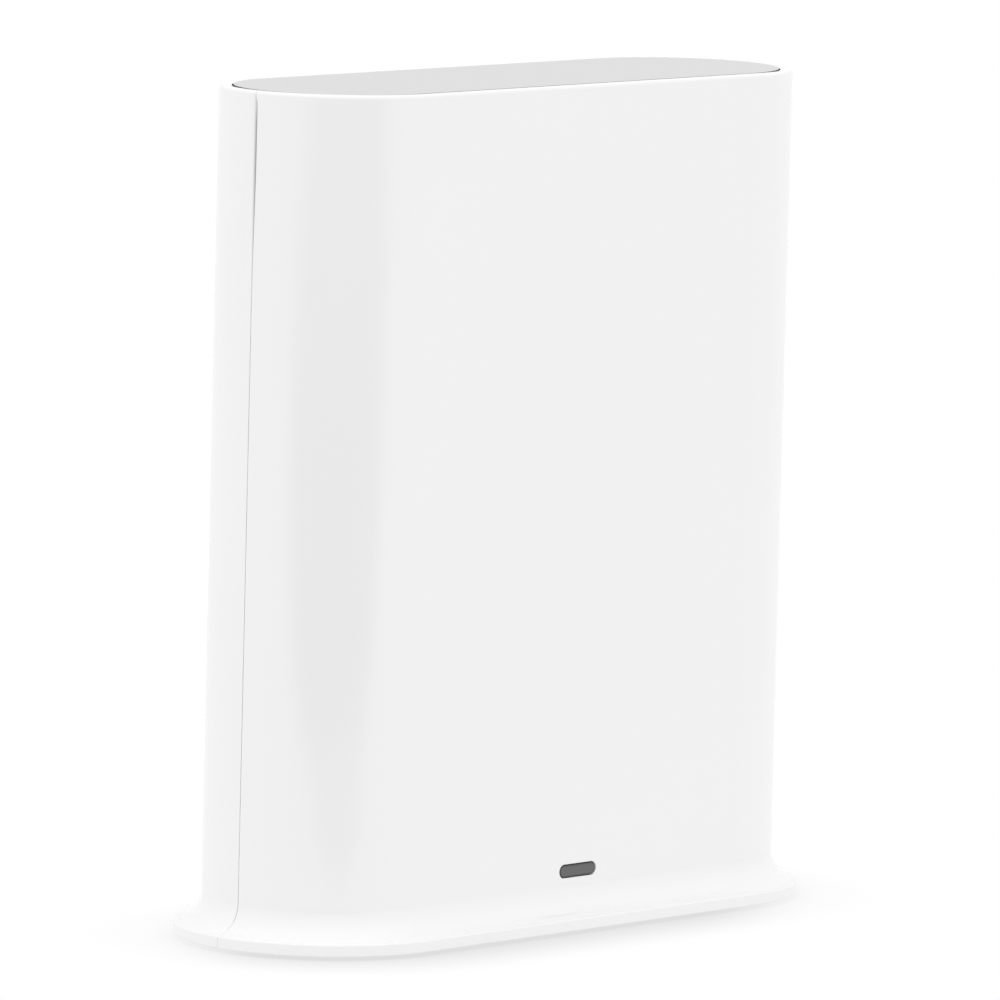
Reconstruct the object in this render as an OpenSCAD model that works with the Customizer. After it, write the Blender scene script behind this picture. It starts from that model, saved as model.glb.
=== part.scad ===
// Security camera base station: an upright hub with a stadium plan and a flared skirt.
// Millimetres. +Z is up, -Y is the front, the table is z = 0.

/* [Body] */
// Width of the upright body, end to end
body_w = 146; // [142:0.5:156]
// Depth of the upright body, front to back
body_d = 47.4; // [46:0.2:52]
// Height from the table to the top rim
body_h = 169.2; // [162:0.2:190]
// Thickness of the moulded shells
wall = 2; // [1.6:0.1:2.2]
// Gap between the front and the rear shell
seam_gap = 0.2; // [0.15:0.05:0.6]
// How far the inner lip reaches past the gap
lip_reach = 2.5; // [1.5:0.1:4]
// Thickness of the inner lip
lip_t = 1; // [0.8:0.1:1.4]

/* [Skirt and base] */
// How far the skirt stands out from the body
skirt_out = 5.55; // [5.2:0.05:7]
// Height of the skirt's upright edge
skirt_edge_h = 2.35; // [1.7:0.05:2.8]
// Slope of the skirt's top, in degrees
skirt_slope = 13; // [12:1:20]
// Radius of the hollow between skirt and wall
skirt_fillet = 6; // [4:0.1:6.4]
// Rounding of the skirt's top edge
skirt_round = 0.5; // [0.3:0.1:0.7]
// Rounding of the skirt's lower edge
skirt_foot_round = 0.4; // [0.2:0.1:0.6]
// Thickness of the base plate
plate_t = 2.2; // [2:0.1:2.6]
// How far the base plate lies above the skirt's lower edge
plate_recess = 0.4; // [0.2:0.1:0.8]
// How far the base plate reaches out past the shell's inside
plate_lap = 3.4; // [3:0.1:3.6]
// Height of the rib that centres the shells on the base plate
plate_rib_h = 3; // [2:0.5:4]
// How far the rubber feet stand below the skirt
foot_proud = 0.6; // [0.5:0.1:1.5]
// Width of a rubber foot
foot_w = 6; // [4:0.5:7]
// Length of a rubber foot
foot_len = 17; // [12:0.5:18]
// Where a foot lies round the end of the body, in degrees from the side
foot_turn = 40; // [35:1:45]
// Distance of a foot's edge from the shell's inside
foot_in = 0.7; // [0.5:0.1:2]
// Depth of the pocket that a rubber foot is glued into
foot_pocket = 0.6; // [0.4:0.1:0.8]
// Thickness of the ribs on the plate and the posts
rib_t = 1.4; // [1.2:0.1:1.6]
// Number of vent slots in the base plate
base_vents = 9; // [5:2:9]
// Length of a vent slot in the base plate
base_vent_len = 14; // [10:1:18]
// Spacing of the vent slots in the base plate
base_vent_pitch = 8; // [6:0.5:9]

/* [Rim and top cover] */
// Width of the rim round the top cover
rim_w = 2.5; // [2.4:0.1:3]
// Rounding of the rim's outer edge
rim_round = 0.9; // [0.4:0.1:1.2]
// Width of the rim's level crest
rim_crest = 0.2; // [0.1:0.1:0.4]
// How far the rim falls from its crest to its inner edge
rim_dip = 0.4; // [0.1:0.1:0.5]
// Rounding of the rim's inner edge
rim_inner_round = 0.1; // [0.1:0.1:0.5]
// How far the cover lies below the rim's crest
cover_recess = 0.3; // [0:0.1:1]
// Thickness of the cover plate
cover_t = 1.7; // [1.6:0.1:2.6]
// Gap between the cover and the rim
cover_gap = 0.3; // [0.2:0.05:0.5]
// Width of the ledge under the cover
ledge_w = 1.2; // [1:0.1:1.6]
// Thickness of the ledge
ledge_t = 1.5; // [1.2:0.1:2]
// Depth of the ring under the cover
ring_h = 5; // [4.5:0.5:6]
// Thickness of the ring under the cover
ring_t = 1.2; // [1:0.1:1.6]
// Length of a snap hook on the ring
hook_w = 10; // [6:1:14]
// Spacing of the snap hooks along the body
hook_pitch = 30; // [24:1:34]
// How far a snap hook stands out of the ring
hook_out = 0.9; // [0.7:0.05:1]
// Height of a snap hook
hook_h = 2; // [1.5:0.1:2.5]

/* [Status lamp] */
// Width of the lamp window
lamp_w = 10.4; // [10:0.1:13]
// Height of the lamp window
lamp_h = 2.45; // [2.2:0.05:3.2]
// Height of the lamp's centre above the table
lamp_z = 11.65; // [11:0.05:13]
// Width of the lens flange behind the wall
lamp_flange = 1.2; // [0.8:0.1:1.6]
// Thickness of the lens flange
lamp_flange_t = 1; // [0.8:0.1:1.4]
// How far the lens lies below the front face
lamp_recess = 0.1; // [0.05:0.05:0.3]
// Side of a status LED
led_w = 1.6; // [1.2:0.1:2]
// Height of a status LED
led_h = 0.8; // [0.6:0.1:1.2]
// Spacing of the status LEDs
led_pitch = 3.2; // [2.6:0.1:3.6]
// How much narrower the light pipe is than the lamp
pipe_in = 1.8; // [1.4:0.1:2.4]
// How much lower the light pipe is than the lamp
pipe_low = 0.45; // [0.3:0.05:0.6]
// Thickness of the shroud round the light pipe
shroud_t = 1.3; // [1:0.1:1.8]
// Length of the shroud
shroud_len = 9; // [6:0.5:12]

/* [Port bay] */
// Width of the bay in the back
bay_w = 78; // [77:0.5:79]
// Height of the bay
bay_h = 25; // [23:0.5:27]
// Height of the bay's centre above the table
bay_z = 28; // [27:0.5:32]
// Depth of the bay
bay_depth = 6; // [5:0.5:7]
// Corner radius of the bay
bay_r = 5; // [3.5:0.5:6]
// Thickness of the tray
tray_t = 1.6; // [1.4:0.1:1.8]
// Thickness of the tray's side walls and flange
tray_side_t = 1.5; // [1.2:0.1:1.8]
// Width of the tray's flange behind the wall
tray_flange = 2; // [1.5:0.1:2.2]
// How far the socket faces lie below the bay's floor
face_in = 0.2; // [0.1:0.05:0.4]
// Gap round each socket in the bay's floor
window_gap = 0.2; // [0.15:0.05:0.3]

/* [Network socket] */
// Sideways place of the network socket
net_x = -12; // [-13:0.5:-11]
// Width of the network socket
net_w = 16; // [15.5:0.1:16.2]
// Height of the network socket
net_h = 13.4; // [13.2:0.1:14]
// Length of every socket from the board to its face
socket_len = 16; // [15:0.5:17]
// Width of the plug space
net_plug_w = 11.9; // [11.7:0.1:12.1]
// Height of the plug space
net_plug_h = 7; // [6.8:0.1:7.2]
// Depth of the plug space
net_plug_depth = 12.3; // [11:0.1:13]
// Height of the plug space's roof above the bay's centre
net_roof = 4; // [3.8:0.1:4.2]
// Width of the latch slot
net_latch_w = 6.2; // [6:0.1:6.6]
// Height of the latch slot
net_latch_h = 2.3; // [2:0.1:2.4]
// Thickness of the socket's metal shield
net_sheet = 0.4; // [0.3:0.05:0.5]
// Gap between the shield and the insert
net_insert_gap = 0.05; // [0.02:0.01:0.1]
// Spacing of the contact wires
net_pitch = 1.02; // [1:0.01:1.04]
// Width of a contact wire
net_wire = 0.45; // [0.35:0.05:0.55]
// How far the contact wires hang into the plug space
net_wire_drop = 2.1; // [1.6:0.1:2.2]
// Thickness of a contact wire where it meets the back
net_wire_t = 0.5; // [0.4:0.05:0.6]
// How far the contact wires start behind the face
net_wire_in = 1.6; // [1.2:0.1:2]
// Width of a link lamp
net_lamp_w = 2.6; // [2.2:0.1:2.8]
// Height of a link lamp
net_lamp_h = 1.6; // [1.4:0.1:1.8]
// Depth of a link lamp
net_lamp_t = 0.8; // [0.6:0.1:1.2]
// Distance of a link lamp from the latch slot
net_lamp_in = 0.8; // [0.6:0.1:0.9]
// How far a link lamp's centre lies below the sides of the plug space
net_lamp_down = 1.6; // [1.4:0.1:1.7]

/* [USB socket] */
// Sideways place of the USB socket
usb_x = 6; // [5:0.5:7]
// Width of the USB plug space
usb_w = 12.5; // [12.3:0.1:12.7]
// Height of the USB plug space
usb_h = 5.1; // [5:0.05:5.2]
// Thickness of the USB shell
usb_sheet = 0.35; // [0.3:0.05:0.45]
// Thickness of the tongue
usb_tongue_t = 1.84; // [1.7:0.02:1.9]
// Width of the tongue
usb_tongue_w = 11; // [10.6:0.1:11.4]
// Height of the tongue's middle above the bay's centre
usb_tongue_up = 0.85; // [0.7:0.05:0.95]
// How far the tongue ends behind the face
usb_tongue_in = 0.8; // [0.5:0.1:1.2]
// Depth of the USB plug space
usb_depth = 9.6; // [9:0.1:11]
// Width of a USB contact
usb_strip_w = 1; // [0.9:0.05:1.2]
// Thickness of a USB contact
usb_strip_t = 0.3; // [0.2:0.05:0.4]
// Sideways place of the inner USB contacts
usb_inner_x = 1; // [0.9:0.05:1.1]
// Sideways place of the outer USB contacts
usb_outer_x = 3.5; // [3.3:0.05:3.7]

/* [Power socket] */
// Sideways place of the power socket
power_x = -30; // [-31:0.5:-29]
// Radius of the plug space
power_r = 3.15; // [3:0.05:3.2]
// Radius of the centre pin
power_pin_r = 1; // [0.8:0.05:1.25]
// Depth of the plug space
power_depth = 9.5; // [9:0.1:10]
// Wall round the plug space
power_wall = 1.1; // [0.9:0.1:1.3]
// Side of the block behind the tray
power_block = 9.4; // [9.2:0.1:10]
// How far the pin ends behind the face
power_pin_in = 1; // [0.5:0.1:2]
// Width of the side spring
power_spring_w = 2; // [1.6:0.1:2.4]
// Thickness of the side spring
power_spring_t = 0.4; // [0.3:0.05:0.5]

/* [Buttons] */
// Sideways place of the sync button
sync_x = 29; // [28:0.5:29.5]
// Radius of the sync button
sync_r = 4.2; // [3.6:0.1:4.4]
// How far the sync button stands out of the tray
sync_proud = 1.2; // [0.9:0.1:1.6]
// Travel of the sync button
sync_travel = 0.6; // [0.4:0.05:0.7]
// Sideways place of the reset hole
reset_x = 19; // [18.5:0.5:19.5]
// Radius of the reset hole
reset_hole_r = 1; // [0.8:0.1:1.1]
// Radius of the reset plunger
reset_r = 1.2; // [1.2:0.05:1.4]
// Travel of the reset plunger
reset_travel = 0.3; // [0.25:0.05:0.4]
// Width of a switch body
switch_w = 6; // [5.6:0.1:6.4]
// Height of a switch body above the board
switch_h = 3.5; // [3.2:0.1:4]
// Gap round each moving piece
run_gap = 0.3; // [0.2:0.05:0.35]
// How far the sync button's flange stands out
flange_out = 1.3; // [1:0.1:1.5]
// Thickness of the sync button's flange
flange_t = 1; // [0.8:0.1:1.4]
// Wall of the tubes that guide the buttons
guide_t = 1; // [0.8:0.1:1.2]
// Length of the sync button's guide
guide_len = 4; // [3:0.5:5]
// Length of the reset plunger's guide
reset_guide_len = 3; // [2:0.5:4]
// Radius of the sync button's stem
stem_r = 2; // [1.8:0.1:2.4]
// Radius of the sync switch's plunger
plunger_r = 1.75; // [1.5:0.05:1.9]
// How far the plunger stands out of the switch
plunger_out = 1.5; // [1:0.1:2]
// How far a plunger reaches into its switch
plunger_in = 1.2; // [1:0.1:1.4]
// Gap between the reset plunger and the tray
reset_back = 0.8; // [0.5:0.1:1.2]

/* [Circuit board] */
// Width of the main board
board_w = 104; // [102:0.5:106]
// Height of the main board
board_h = 118; // [112:0.5:120]
// Thickness of the main board
board_t = 1.6; // [1.2:0.1:2]
// How far the board reaches below the lamp
board_below = 2.7; // [2:0.1:3.5]
// Distance of the board screws from the side edges
board_hole_in = 6; // [5:0.5:6.5]
// Height of the lower board screws above the board's edge
board_hole_up = 12; // [10:0.5:14]
// Distance of the upper board screws from the board's top
board_hole_down = 6; // [5:0.5:8]
// Length of a board screw's shank
board_screw_len = 10; // [8:0.5:12]
// Radius of a board post
post_r = 3; // [2.6:0.1:3.2]
// Radius of a board screw
board_screw_r = 1.25; // [1:0.05:1.4]
// Side of the heat sink
sink_w = 44; // [36:1:46]
// Height of the heat sink's fins
fin_h = 8; // [5:0.5:10]
// Number of fins
fins = 9; // [5:1:11]
// Thickness of a fin
fin_t = 1.2; // [1:0.1:1.6]
// Thickness of the heat sink's base
sink_base = 2; // [1.5:0.1:3]
// Height of the heat sink's centre above the board's edge
sink_up = 73; // [70:0.5:76]
// Side of the processor
chip_w = 15; // [12:0.5:18]
// Thickness of the processor
chip_t = 1.4; // [1:0.1:2]
// Thickness of the thermal pad
pad_t = 0.5; // [0.3:0.1:1]
// Width of a memory chip
memory_w = 9; // [7:0.5:11]
// Height of a memory chip
memory_h = 13; // [10:0.5:14]
// Thickness of a memory chip
memory_t = 1; // [0.8:0.1:1.2]
// Sideways place of the memory chips
memory_x = 13.5; // [10:0.5:16]
// Height of the memory chips above the board's edge
memory_up = 40; // [38:0.5:42]
// Thickness of a shield can
can_t = 3; // [2:0.1:4]
// Thickness of a shield can's sheet
can_sheet = 0.3; // [0.2:0.05:0.4]
// Width of a side shield can
can_w = 23; // [20:0.5:25]
// Height of a side shield can
can_h = 35; // [30:0.5:40]
// Sideways place of the side shield cans
can_x = 37; // [35:0.5:38]
// Width of the low shield can
low_can_w = 42; // [36:0.5:60]
// Height of the low shield can
low_can_h = 16; // [12:0.5:18]
// Height of the low shield can above the board's edge
low_can_up = 22; // [20:0.5:24]
// Height of the row of parts above the sockets' centres
row_up = 18; // [17:0.5:22]
// Height of the network transformer
transformer_h = 10; // [8:0.5:11]
// Thickness of the network transformer
transformer_t = 5; // [4:0.5:6]
// Radius of a capacitor
capacitor_r = 3.15; // [2.5:0.05:3.4]
// Length of a capacitor
capacitor_len = 8; // [6:0.5:10]
// Spacing of the capacitors
capacitor_pitch = 8; // [7:0.1:9]
// Side of an inductor
inductor_w = 6; // [5:0.5:7]
// Thickness of an inductor
inductor_t = 3.5; // [2.5:0.5:4.5]
// Spacing of the inductors
inductor_pitch = 10; // [8:0.5:11]

/* [Antennas] */
// Length of an antenna board
antenna_w = 38; // [32:1:40]
// Height of an antenna board
antenna_h = 10; // [8:0.5:12]
// Thickness of an antenna board
antenna_t = 0.8; // [0.6:0.1:1]
// Sideways place of an antenna
antenna_x = 27; // [25:0.5:28]
// Distance of the antennas below the rim
antenna_drop = 23; // [20:1:26]
// Radius of the stakes that hold an antenna
stake_r = 1; // [0.8:0.1:1.4]
// Distance of a stake from the antenna's end
stake_in = 5; // [3:0.5:8]
// How far a stake stands out of the antenna
stake_out = 0.4; // [0.2:0.1:0.8]
// Radius of an antenna lead
lead_r = 0.6; // [0.5:0.05:0.7]
// How far an antenna lead runs straight before it bends
lead_pull = 14; // [10:1:18]
// Side of an antenna plug
plug_w = 3; // [2.4:0.1:3.6]
// Thickness of an antenna plug
plug_t = 1.6; // [1.3:0.1:2]
// Sideways place of an antenna plug
plug_x = 21; // [18:0.5:24]
// Height of an antenna plug above the board's edge
plug_up = 110; // [107:0.5:110]

/* [Fasteners and vents] */
// Radius of a base screw
screw_r = 1.5; // [1.2:0.05:1.6]
// Length of a base screw's shank
screw_len = 11; // [9:0.5:12]
// Radius of a base screw's head
head_r = 2.8; // [2.6:0.1:3]
// Height of every screw head
head_h = 1.1; // [1:0.1:1.2]
// Width of the cross in a screw head
drive_w = 0.8; // [0.6:0.1:1]
// Depth of the cross in a screw head
drive_depth = 0.6; // [0.4:0.1:0.7]
// Radius of a base screw's post
boss_r = 3.5; // [3.2:0.1:3.8]
// Clearance between pieces that are put together
fit_gap = 0.15; // [0.1:0.05:0.2]
// Number of vent slots in the back
back_vents = 15; // [9:2:17]
// Length of a vent slot in the back
vent_len = 20; // [14:1:24]
// Distance of the vent slots' middle below the rim
vent_drop = 28; // [26:0.5:30]
// Width of a vent slot
vent_w = 2; // [1.6:0.1:2.4]
// Spacing of the vent slots
vent_pitch = 5; // [4.4:0.1:5]

/* [Hidden] */
$fn = 64;

white = [0.93, 0.93, 0.92];
pale_grey = [0.80, 0.80, 0.80];
dark_grey = [0.24, 0.24, 0.25];
black = [0.06, 0.06, 0.06];
metal = [0.75, 0.76, 0.78];
gold = [0.83, 0.66, 0.28];
green = [0.10, 0.33, 0.20];

end_r = body_d / 2;
in_r = end_r - wall;
run = (body_w - body_d) / 2;
skirt_r = end_r + skirt_out;
edge_top = foot_proud + skirt_edge_h;
slope_top = edge_top + skirt_out * tan(skirt_slope);
slope_dir = [cos(skirt_slope), -sin(skirt_slope)];
plate_z = foot_proud + plate_recess;
seat_z = plate_z + plate_t;
plate_open_r = in_r + plate_lap;
plate_r = plate_open_r - fit_gap;
rib_r = in_r - 2 * fit_gap;

rim_r = end_r - rim_w;
crest_r = end_r - rim_round - rim_crest;
rim_fall = [crest_r - rim_r, rim_dip];
cover_z = body_h - cover_recess - cover_t;
cover_r = rim_r - cover_gap;
ledge_r = rim_r - ledge_w;
ring_r = ledge_r - 2 * fit_gap;

lip_r = in_r - fit_gap - lip_t;
lip_z = seat_z + plate_rib_h + 2 * fit_gap;
lip_h = cover_z - ledge_t - fit_gap - lip_z;

boss_y = in_r - boss_r + wall / 4;
boss_h = screw_len + 3;

foot_r = in_r - foot_w / 2 - foot_in;

lens_back = -in_r + lamp_flange_t;
pipe_w = lamp_w - pipe_in;
pipe_h = lamp_h - pipe_low;

bay_floor = end_r - bay_depth;
tray_back = bay_floor - tray_t;
tray_w = bay_w - 2 * fit_gap;
tray_h = bay_h - 2 * fit_gap;
tray_r = bay_r - fit_gap;
face_y = bay_floor - face_in;
board_back = face_y - socket_len;
board_front = board_back - board_t;
board_z = lamp_z - board_below;

net_top = bay_z + net_roof;
net_lamp_x = net_latch_w / 2 + net_lamp_in + net_lamp_w / 2;

usb_tongue_z = bay_z + usb_tongue_up;
usb_edge = usb_sheet + window_gap;

power_nose_r = power_r + power_wall;

flange_r = sync_r + flange_out;
plunger_top = board_back + switch_h + plunger_out;

board_hole_x = board_w / 2 - board_hole_in;
board_hole_low = board_z + board_hole_up;
board_hole_high = board_z + board_h - board_hole_down;
post_depth = board_screw_len + 2;
sink_z = board_z + sink_up;
sink_back = board_front - chip_t - pad_t;
fin_pitch = (sink_w - fin_t) / (fins - 1);
row_z = bay_z + row_up;
plug_z = board_z + plug_up;

antenna_z = body_h - antenna_drop;
antenna_back = antenna_t - in_r;
stake_x = antenna_w / 2 - stake_in;
lead_sides = 8;
lead_steps = 18;
vent_z = body_h - vent_drop;

// A stretched circle: two half rounds of radius r joined by the straight run
module stadium(r) {
  square([2 * run, 2 * r], center = true);
  for (s = [-1, 1])
    translate([s * run, 0])
      circle(r);
}

module round_rect(w, h, r) {
  square([w - 2 * r, h], center = true);
  square([w, h - 2 * r], center = true);
  for (x = [-1, 1], y = [-1, 1])
    translate([x * (w / 2 - r), y * (h / 2 - r)])
      circle(r);
}

module pill(w, h) {
  square([w - h, h], center = true);
  for (s = [-1, 1])
    translate([s * (w - h) / 2, 0])
      circle(h / 2);
}

// The sliver between a corner and the arc that rounds it; the corner's lines leave it along a and b
module corner(p, a, b, r) {
  half = acos(a * b) / 2;
  reach = r / tan(half);
  mid = p + (a + b) / norm(a + b) * r / sin(half);
  difference() {
    polygon([p, p + reach * a, mid, p + reach * b]);
    translate(mid)
      circle(r);
  }
}

// Carries an outline drawn in X and Z from y0 to y1
module along_y(y0, y1) {
  translate([0, y1, 0])
    rotate([90, 0, 0])
      linear_extrude(y1 - y0)
        children();
}

// Carries an outline drawn in Y and Z along X, centred on x
module along_x(x, len) {
  translate([x - len / 2, 0, 0])
    rotate([90, 0, 90])
      linear_extrude(len)
        children();
}

// Carries a profile of radius and height round the rear half of the plan
module half_sweep() {
  along_x(0, 2 * run)
    children();
  translate([run, 0, 0])
    rotate_extrude(angle = 90)
      children();
  translate([-run, 0, 0])
    rotate([0, 0, 90])
      rotate_extrude(angle = 90)
        children();
}

// Keeps what lies inside the middle of the shell wall, so posts end in the wall
module inside_wall() {
  intersection() {
    union()
      children();
    linear_extrude(body_h)
      stadium(in_r + wall / 2);
  }
}

module shell_profile() {
  difference() {
    union() {
      translate([in_r, seat_z])
        square([wall, cover_z - seat_z]);
      polygon([
        [rim_r, cover_z - ledge_t], [end_r, cover_z - ledge_t], [end_r, body_h],
        [crest_r, body_h], [rim_r, body_h - rim_dip]
      ]);
      translate([ledge_r, cover_z - ledge_t])
        square([end_r - ledge_r, ledge_t]);
      polygon([
        [in_r, seat_z], [plate_open_r, seat_z], [plate_open_r, foot_proud],
        [skirt_r, foot_proud], [skirt_r, edge_top], [end_r, slope_top], [in_r, slope_top]
      ]);
      corner([end_r, slope_top], [0, 1], slope_dir, skirt_fillet);
    }
    corner([skirt_r, edge_top], [0, -1], -slope_dir, skirt_round);
    corner([skirt_r, foot_proud], [0, 1], [-1, 0], skirt_foot_round);
    corner([end_r, body_h], [0, -1], [-1, 0], rim_round);
    corner([rim_r, body_h - rim_dip], [0, -1], rim_fall / norm(rim_fall), rim_inner_round);
  }
}

// The places of the base screws on one side of the middle plane
module at_bosses(side) {
  for (s = [-1, 1])
    translate([s * run, side * boss_y, 0])
      children();
}

module base_bosses(side) {
  inside_wall()
    at_bosses(side)
      translate([0, 0, seat_z])
        cylinder(h = boss_h, r = boss_r);
}

module base_pilots(side) {
  at_bosses(side)
    translate([0, 0, foot_proud])
      cylinder(h = seat_z + screw_len - foot_proud, r = screw_r + fit_gap / 3);
}

module front_shell() {
  color(white)
    difference() {
      union() {
        rotate([0, 0, 180])
          half_sweep()
            shell_profile();
        base_bosses(-1);
        along_y(-in_r - wall / 2, antenna_back + stake_out)
          for (s = [-1, 1], e = [-1, 1])
            translate([s * antenna_x + e * stake_x, antenna_z])
              circle(stake_r);
      }
      translate([-body_w, -seam_gap / 2, 0])
        cube([2 * body_w, body_d, body_h + 1]);
      base_pilots(-1);
      along_y(-end_r - 1, -in_r + 1)
        translate([0, lamp_z])
          pill(lamp_w + 2 * fit_gap, lamp_h + 2 * fit_gap);
    }
}

// One upright lip: its root lies in the rear wall and it reaches past the gap inside the front wall
module seam_lip() {
  translate([run, 0, lip_z])
    linear_extrude(lip_h)
      intersection() {
        difference() {
          circle(in_r + wall / 4);
          circle(lip_r);
        }
        translate([0, -lip_reach])
          square([end_r, 2 * lip_reach]);
        union() {
          circle(lip_r + lip_t);
          translate([0, seam_gap])
            square(end_r);
        }
      }
}

module at_board_holes() {
  for (s = [-1, 1], z = [board_hole_low, board_hole_high])
    translate([s * board_hole_x, z])
      children();
}

module rear_shell() {
  color(white) {
    difference() {
      union() {
        half_sweep()
          shell_profile();
        base_bosses(1);
        inside_wall() {
          along_y(board_back, end_r)
            at_board_holes()
              circle(post_r);
          along_y(board_back + 2 * post_r, end_r)
            at_board_holes()
              square([rib_t, 4 * post_r], center = true);
        }
      }
      translate([-body_w, seam_gap / 2 - body_d, 0])
        cube([2 * body_w, body_d, body_h + 1]);
      base_pilots(1);
      along_y(board_back - 1, board_back + post_depth)
        at_board_holes()
          circle(board_screw_r + fit_gap / 3);
      along_y(in_r - 1, end_r + 1)
        translate([0, bay_z])
          round_rect(bay_w, bay_h, bay_r);
      along_y(in_r - 1, end_r + 1)
        for (i = [0 : back_vents - 1])
          translate([(i - (back_vents - 1) / 2) * vent_pitch, vent_z])
            rotate(90)
              pill(vent_len, vent_w);
    }
    seam_lip();
    mirror([1, 0, 0])
      seam_lip();
  }
}

module top_cover() {
  color(pale_grey) {
    translate([0, 0, cover_z])
      linear_extrude(cover_t)
        stadium(cover_r);
    translate([0, 0, cover_z - ring_h])
      linear_extrude(ring_h)
        difference() {
          stadium(ring_r);
          stadium(ring_r - ring_t);
        }
    hook_top = cover_z - ledge_t - fit_gap;
    for (x = [-1, 0, 1], turn = [0, 180])
      rotate([0, 0, turn])
        along_x(x * hook_pitch, hook_w)
          polygon([
            [ring_r - ring_t / 2, hook_top], [ring_r + hook_out, hook_top],
            [ring_r, hook_top - hook_h], [ring_r - ring_t / 2, hook_top - hook_h]
          ]);
  }
}

// The outline of a rubber foot, on the right rear end of the plan
module foot_plan(extra) {
  rotate(foot_turn)
    translate([foot_r, 0])
      rotate(90)
        pill(foot_len + 2 * extra, foot_w + 2 * extra);
}

// Four copies, one at each corner of the plan
module at_corners() {
  for (sx = [0, 1], sy = [0, 1])
    mirror([sx, 0, 0])
      mirror([0, sy, 0])
        translate([run, 0, 0])
          children();
}

module base_plate() {
  color(white)
    difference() {
      union() {
        translate([0, 0, plate_z])
          linear_extrude(plate_t)
            stadium(plate_r);
        translate([0, 0, plate_z])
          linear_extrude(plate_t + plate_rib_h)
            difference() {
              stadium(rib_r);
              stadium(rib_r - rib_t);
              for (sx = [-1, 1], sy = [-1, 1])
                translate([sx * run, sy * boss_y])
                  circle(boss_r + 2 * fit_gap);
            }
      }
      for (side = [-1, 1])
        at_bosses(side) {
          cylinder(h = 2 * seat_z, r = screw_r + fit_gap);
          cylinder(h = plate_z + head_h + 0.1, r = head_r + 2 * fit_gap);
        }
      at_corners()
        translate([0, 0, plate_z - 1])
          linear_extrude(foot_pocket + 1)
            foot_plan(fit_gap);
      for (i = [0 : base_vents - 1])
        translate([(i - (base_vents - 1) / 2) * base_vent_pitch, 0, 0])
          linear_extrude(2 * seat_z)
            rotate(90)
              pill(base_vent_len, vent_w);
    }
}

module rubber_feet() {
  color(dark_grey)
    at_corners()
      linear_extrude(plate_z + foot_pocket)
        foot_plan(0);
}

// A pan-head screw with its shank up the Z axis and its head's underside at z = 0
module screw(r, len, head) {
  cylinder(h = len, r = r);
  translate([0, 0, -head_h])
    difference() {
      cylinder(h = head_h, r = head);
      for (turn = [0, 90])
        rotate([0, 0, turn])
          translate([-0.6 * head, -drive_w / 2, -1])
            cube([1.2 * head, drive_w, drive_depth + 1]);
    }
}

module base_screws() {
  color(metal)
    for (side = [-1, 1])
      at_bosses(side)
        translate([0, 0, plate_z + head_h + 0.1])
          screw(screw_r, screw_len - 1, head_r);
}

module lamp_lens() {
  color(dark_grey) {
    along_y(lamp_recess - end_r, -in_r)
      translate([0, lamp_z])
        pill(lamp_w, lamp_h);
    along_y(-in_r, lens_back)
      translate([0, lamp_z])
        pill(lamp_w + 2 * lamp_flange, lamp_h + 2 * lamp_flange);
  }
}

module light_pipe() {
  color([0.9, 0.92, 0.95])
    along_y(lens_back + fit_gap, board_front - led_h - fit_gap)
      translate([0, lamp_z])
        pill(pipe_w, pipe_h);
}

module light_shroud() {
  color(black)
    along_y(board_front - shroud_len, board_front)
      translate([0, lamp_z])
        difference() {
          square([pipe_w + 2 * shroud_t, pipe_h + 2 * shroud_t], center = true);
          pill(pipe_w + 2 * fit_gap, pipe_h + 2 * fit_gap);
        }
}

module status_leds() {
  color([0.95, 0.93, 0.80])
    for (i = [-1, 0, 1])
      on_front(i * led_pitch, lamp_z, led_w, led_w, led_h);
}

// A block on the board's front face, or on its back face
module on_front(x, z, w, h, t) {
  translate([x - w / 2, board_front - t, z - h / 2])
    cube([w, t, h]);
}

module on_back(x, z, w, h, t) {
  translate([x - w / 2, board_back, z - h / 2])
    cube([w, t, h]);
}

module port_tray() {
  color(pale_grey)
    difference() {
      union() {
        along_y(tray_back, end_r - fit_gap)
          translate([0, bay_z])
            round_rect(tray_w, tray_h, tray_r);
        along_y(in_r - tray_side_t, in_r)
          translate([0, bay_z])
            round_rect(tray_w + 2 * tray_flange, tray_h + 2 * tray_flange, tray_r + tray_flange);
        along_y(tray_back - guide_len, bay_floor)
          translate([sync_x, bay_z])
            circle(flange_r + run_gap + guide_t);
        along_y(tray_back - reset_guide_len, bay_floor)
          translate([reset_x, bay_z])
            circle(reset_r + run_gap + guide_t);
      }
      along_y(bay_floor, end_r + 1)
        translate([0, bay_z])
          round_rect(tray_w - 2 * tray_side_t, tray_h - 2 * tray_side_t, tray_r - tray_side_t);
      along_y(tray_back - guide_len - 1, tray_back)
        translate([sync_x, bay_z])
          circle(flange_r + run_gap);
      along_y(tray_back - 1, bay_floor + 1) {
        translate([sync_x, bay_z])
          circle(sync_r + run_gap);
        translate([reset_x, bay_z])
          circle(reset_hole_r);
        translate([net_x, bay_z])
          square([net_w + 2 * window_gap, net_h + 2 * window_gap], center = true);
        translate([usb_x, bay_z])
          square([usb_w + 2 * usb_edge, usb_h + 2 * usb_edge], center = true);
        translate([power_x, bay_z])
          circle(power_nose_r + window_gap);
      }
      along_y(tray_back - reset_guide_len - 1, tray_back)
        translate([reset_x, bay_z])
          circle(reset_r + run_gap);
    }
}

module network_shield() {
  color(metal)
    along_y(board_back, face_y)
      translate([net_x, bay_z])
        difference() {
          square([net_w, net_h], center = true);
          square([net_w - 2 * net_sheet, net_h - 2 * net_sheet], center = true);
        }
}

module at_net_lamps() {
  for (s = [-1, 1])
    translate([net_x + s * net_lamp_x, net_top - net_plug_h - net_lamp_down])
      children();
}

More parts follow.
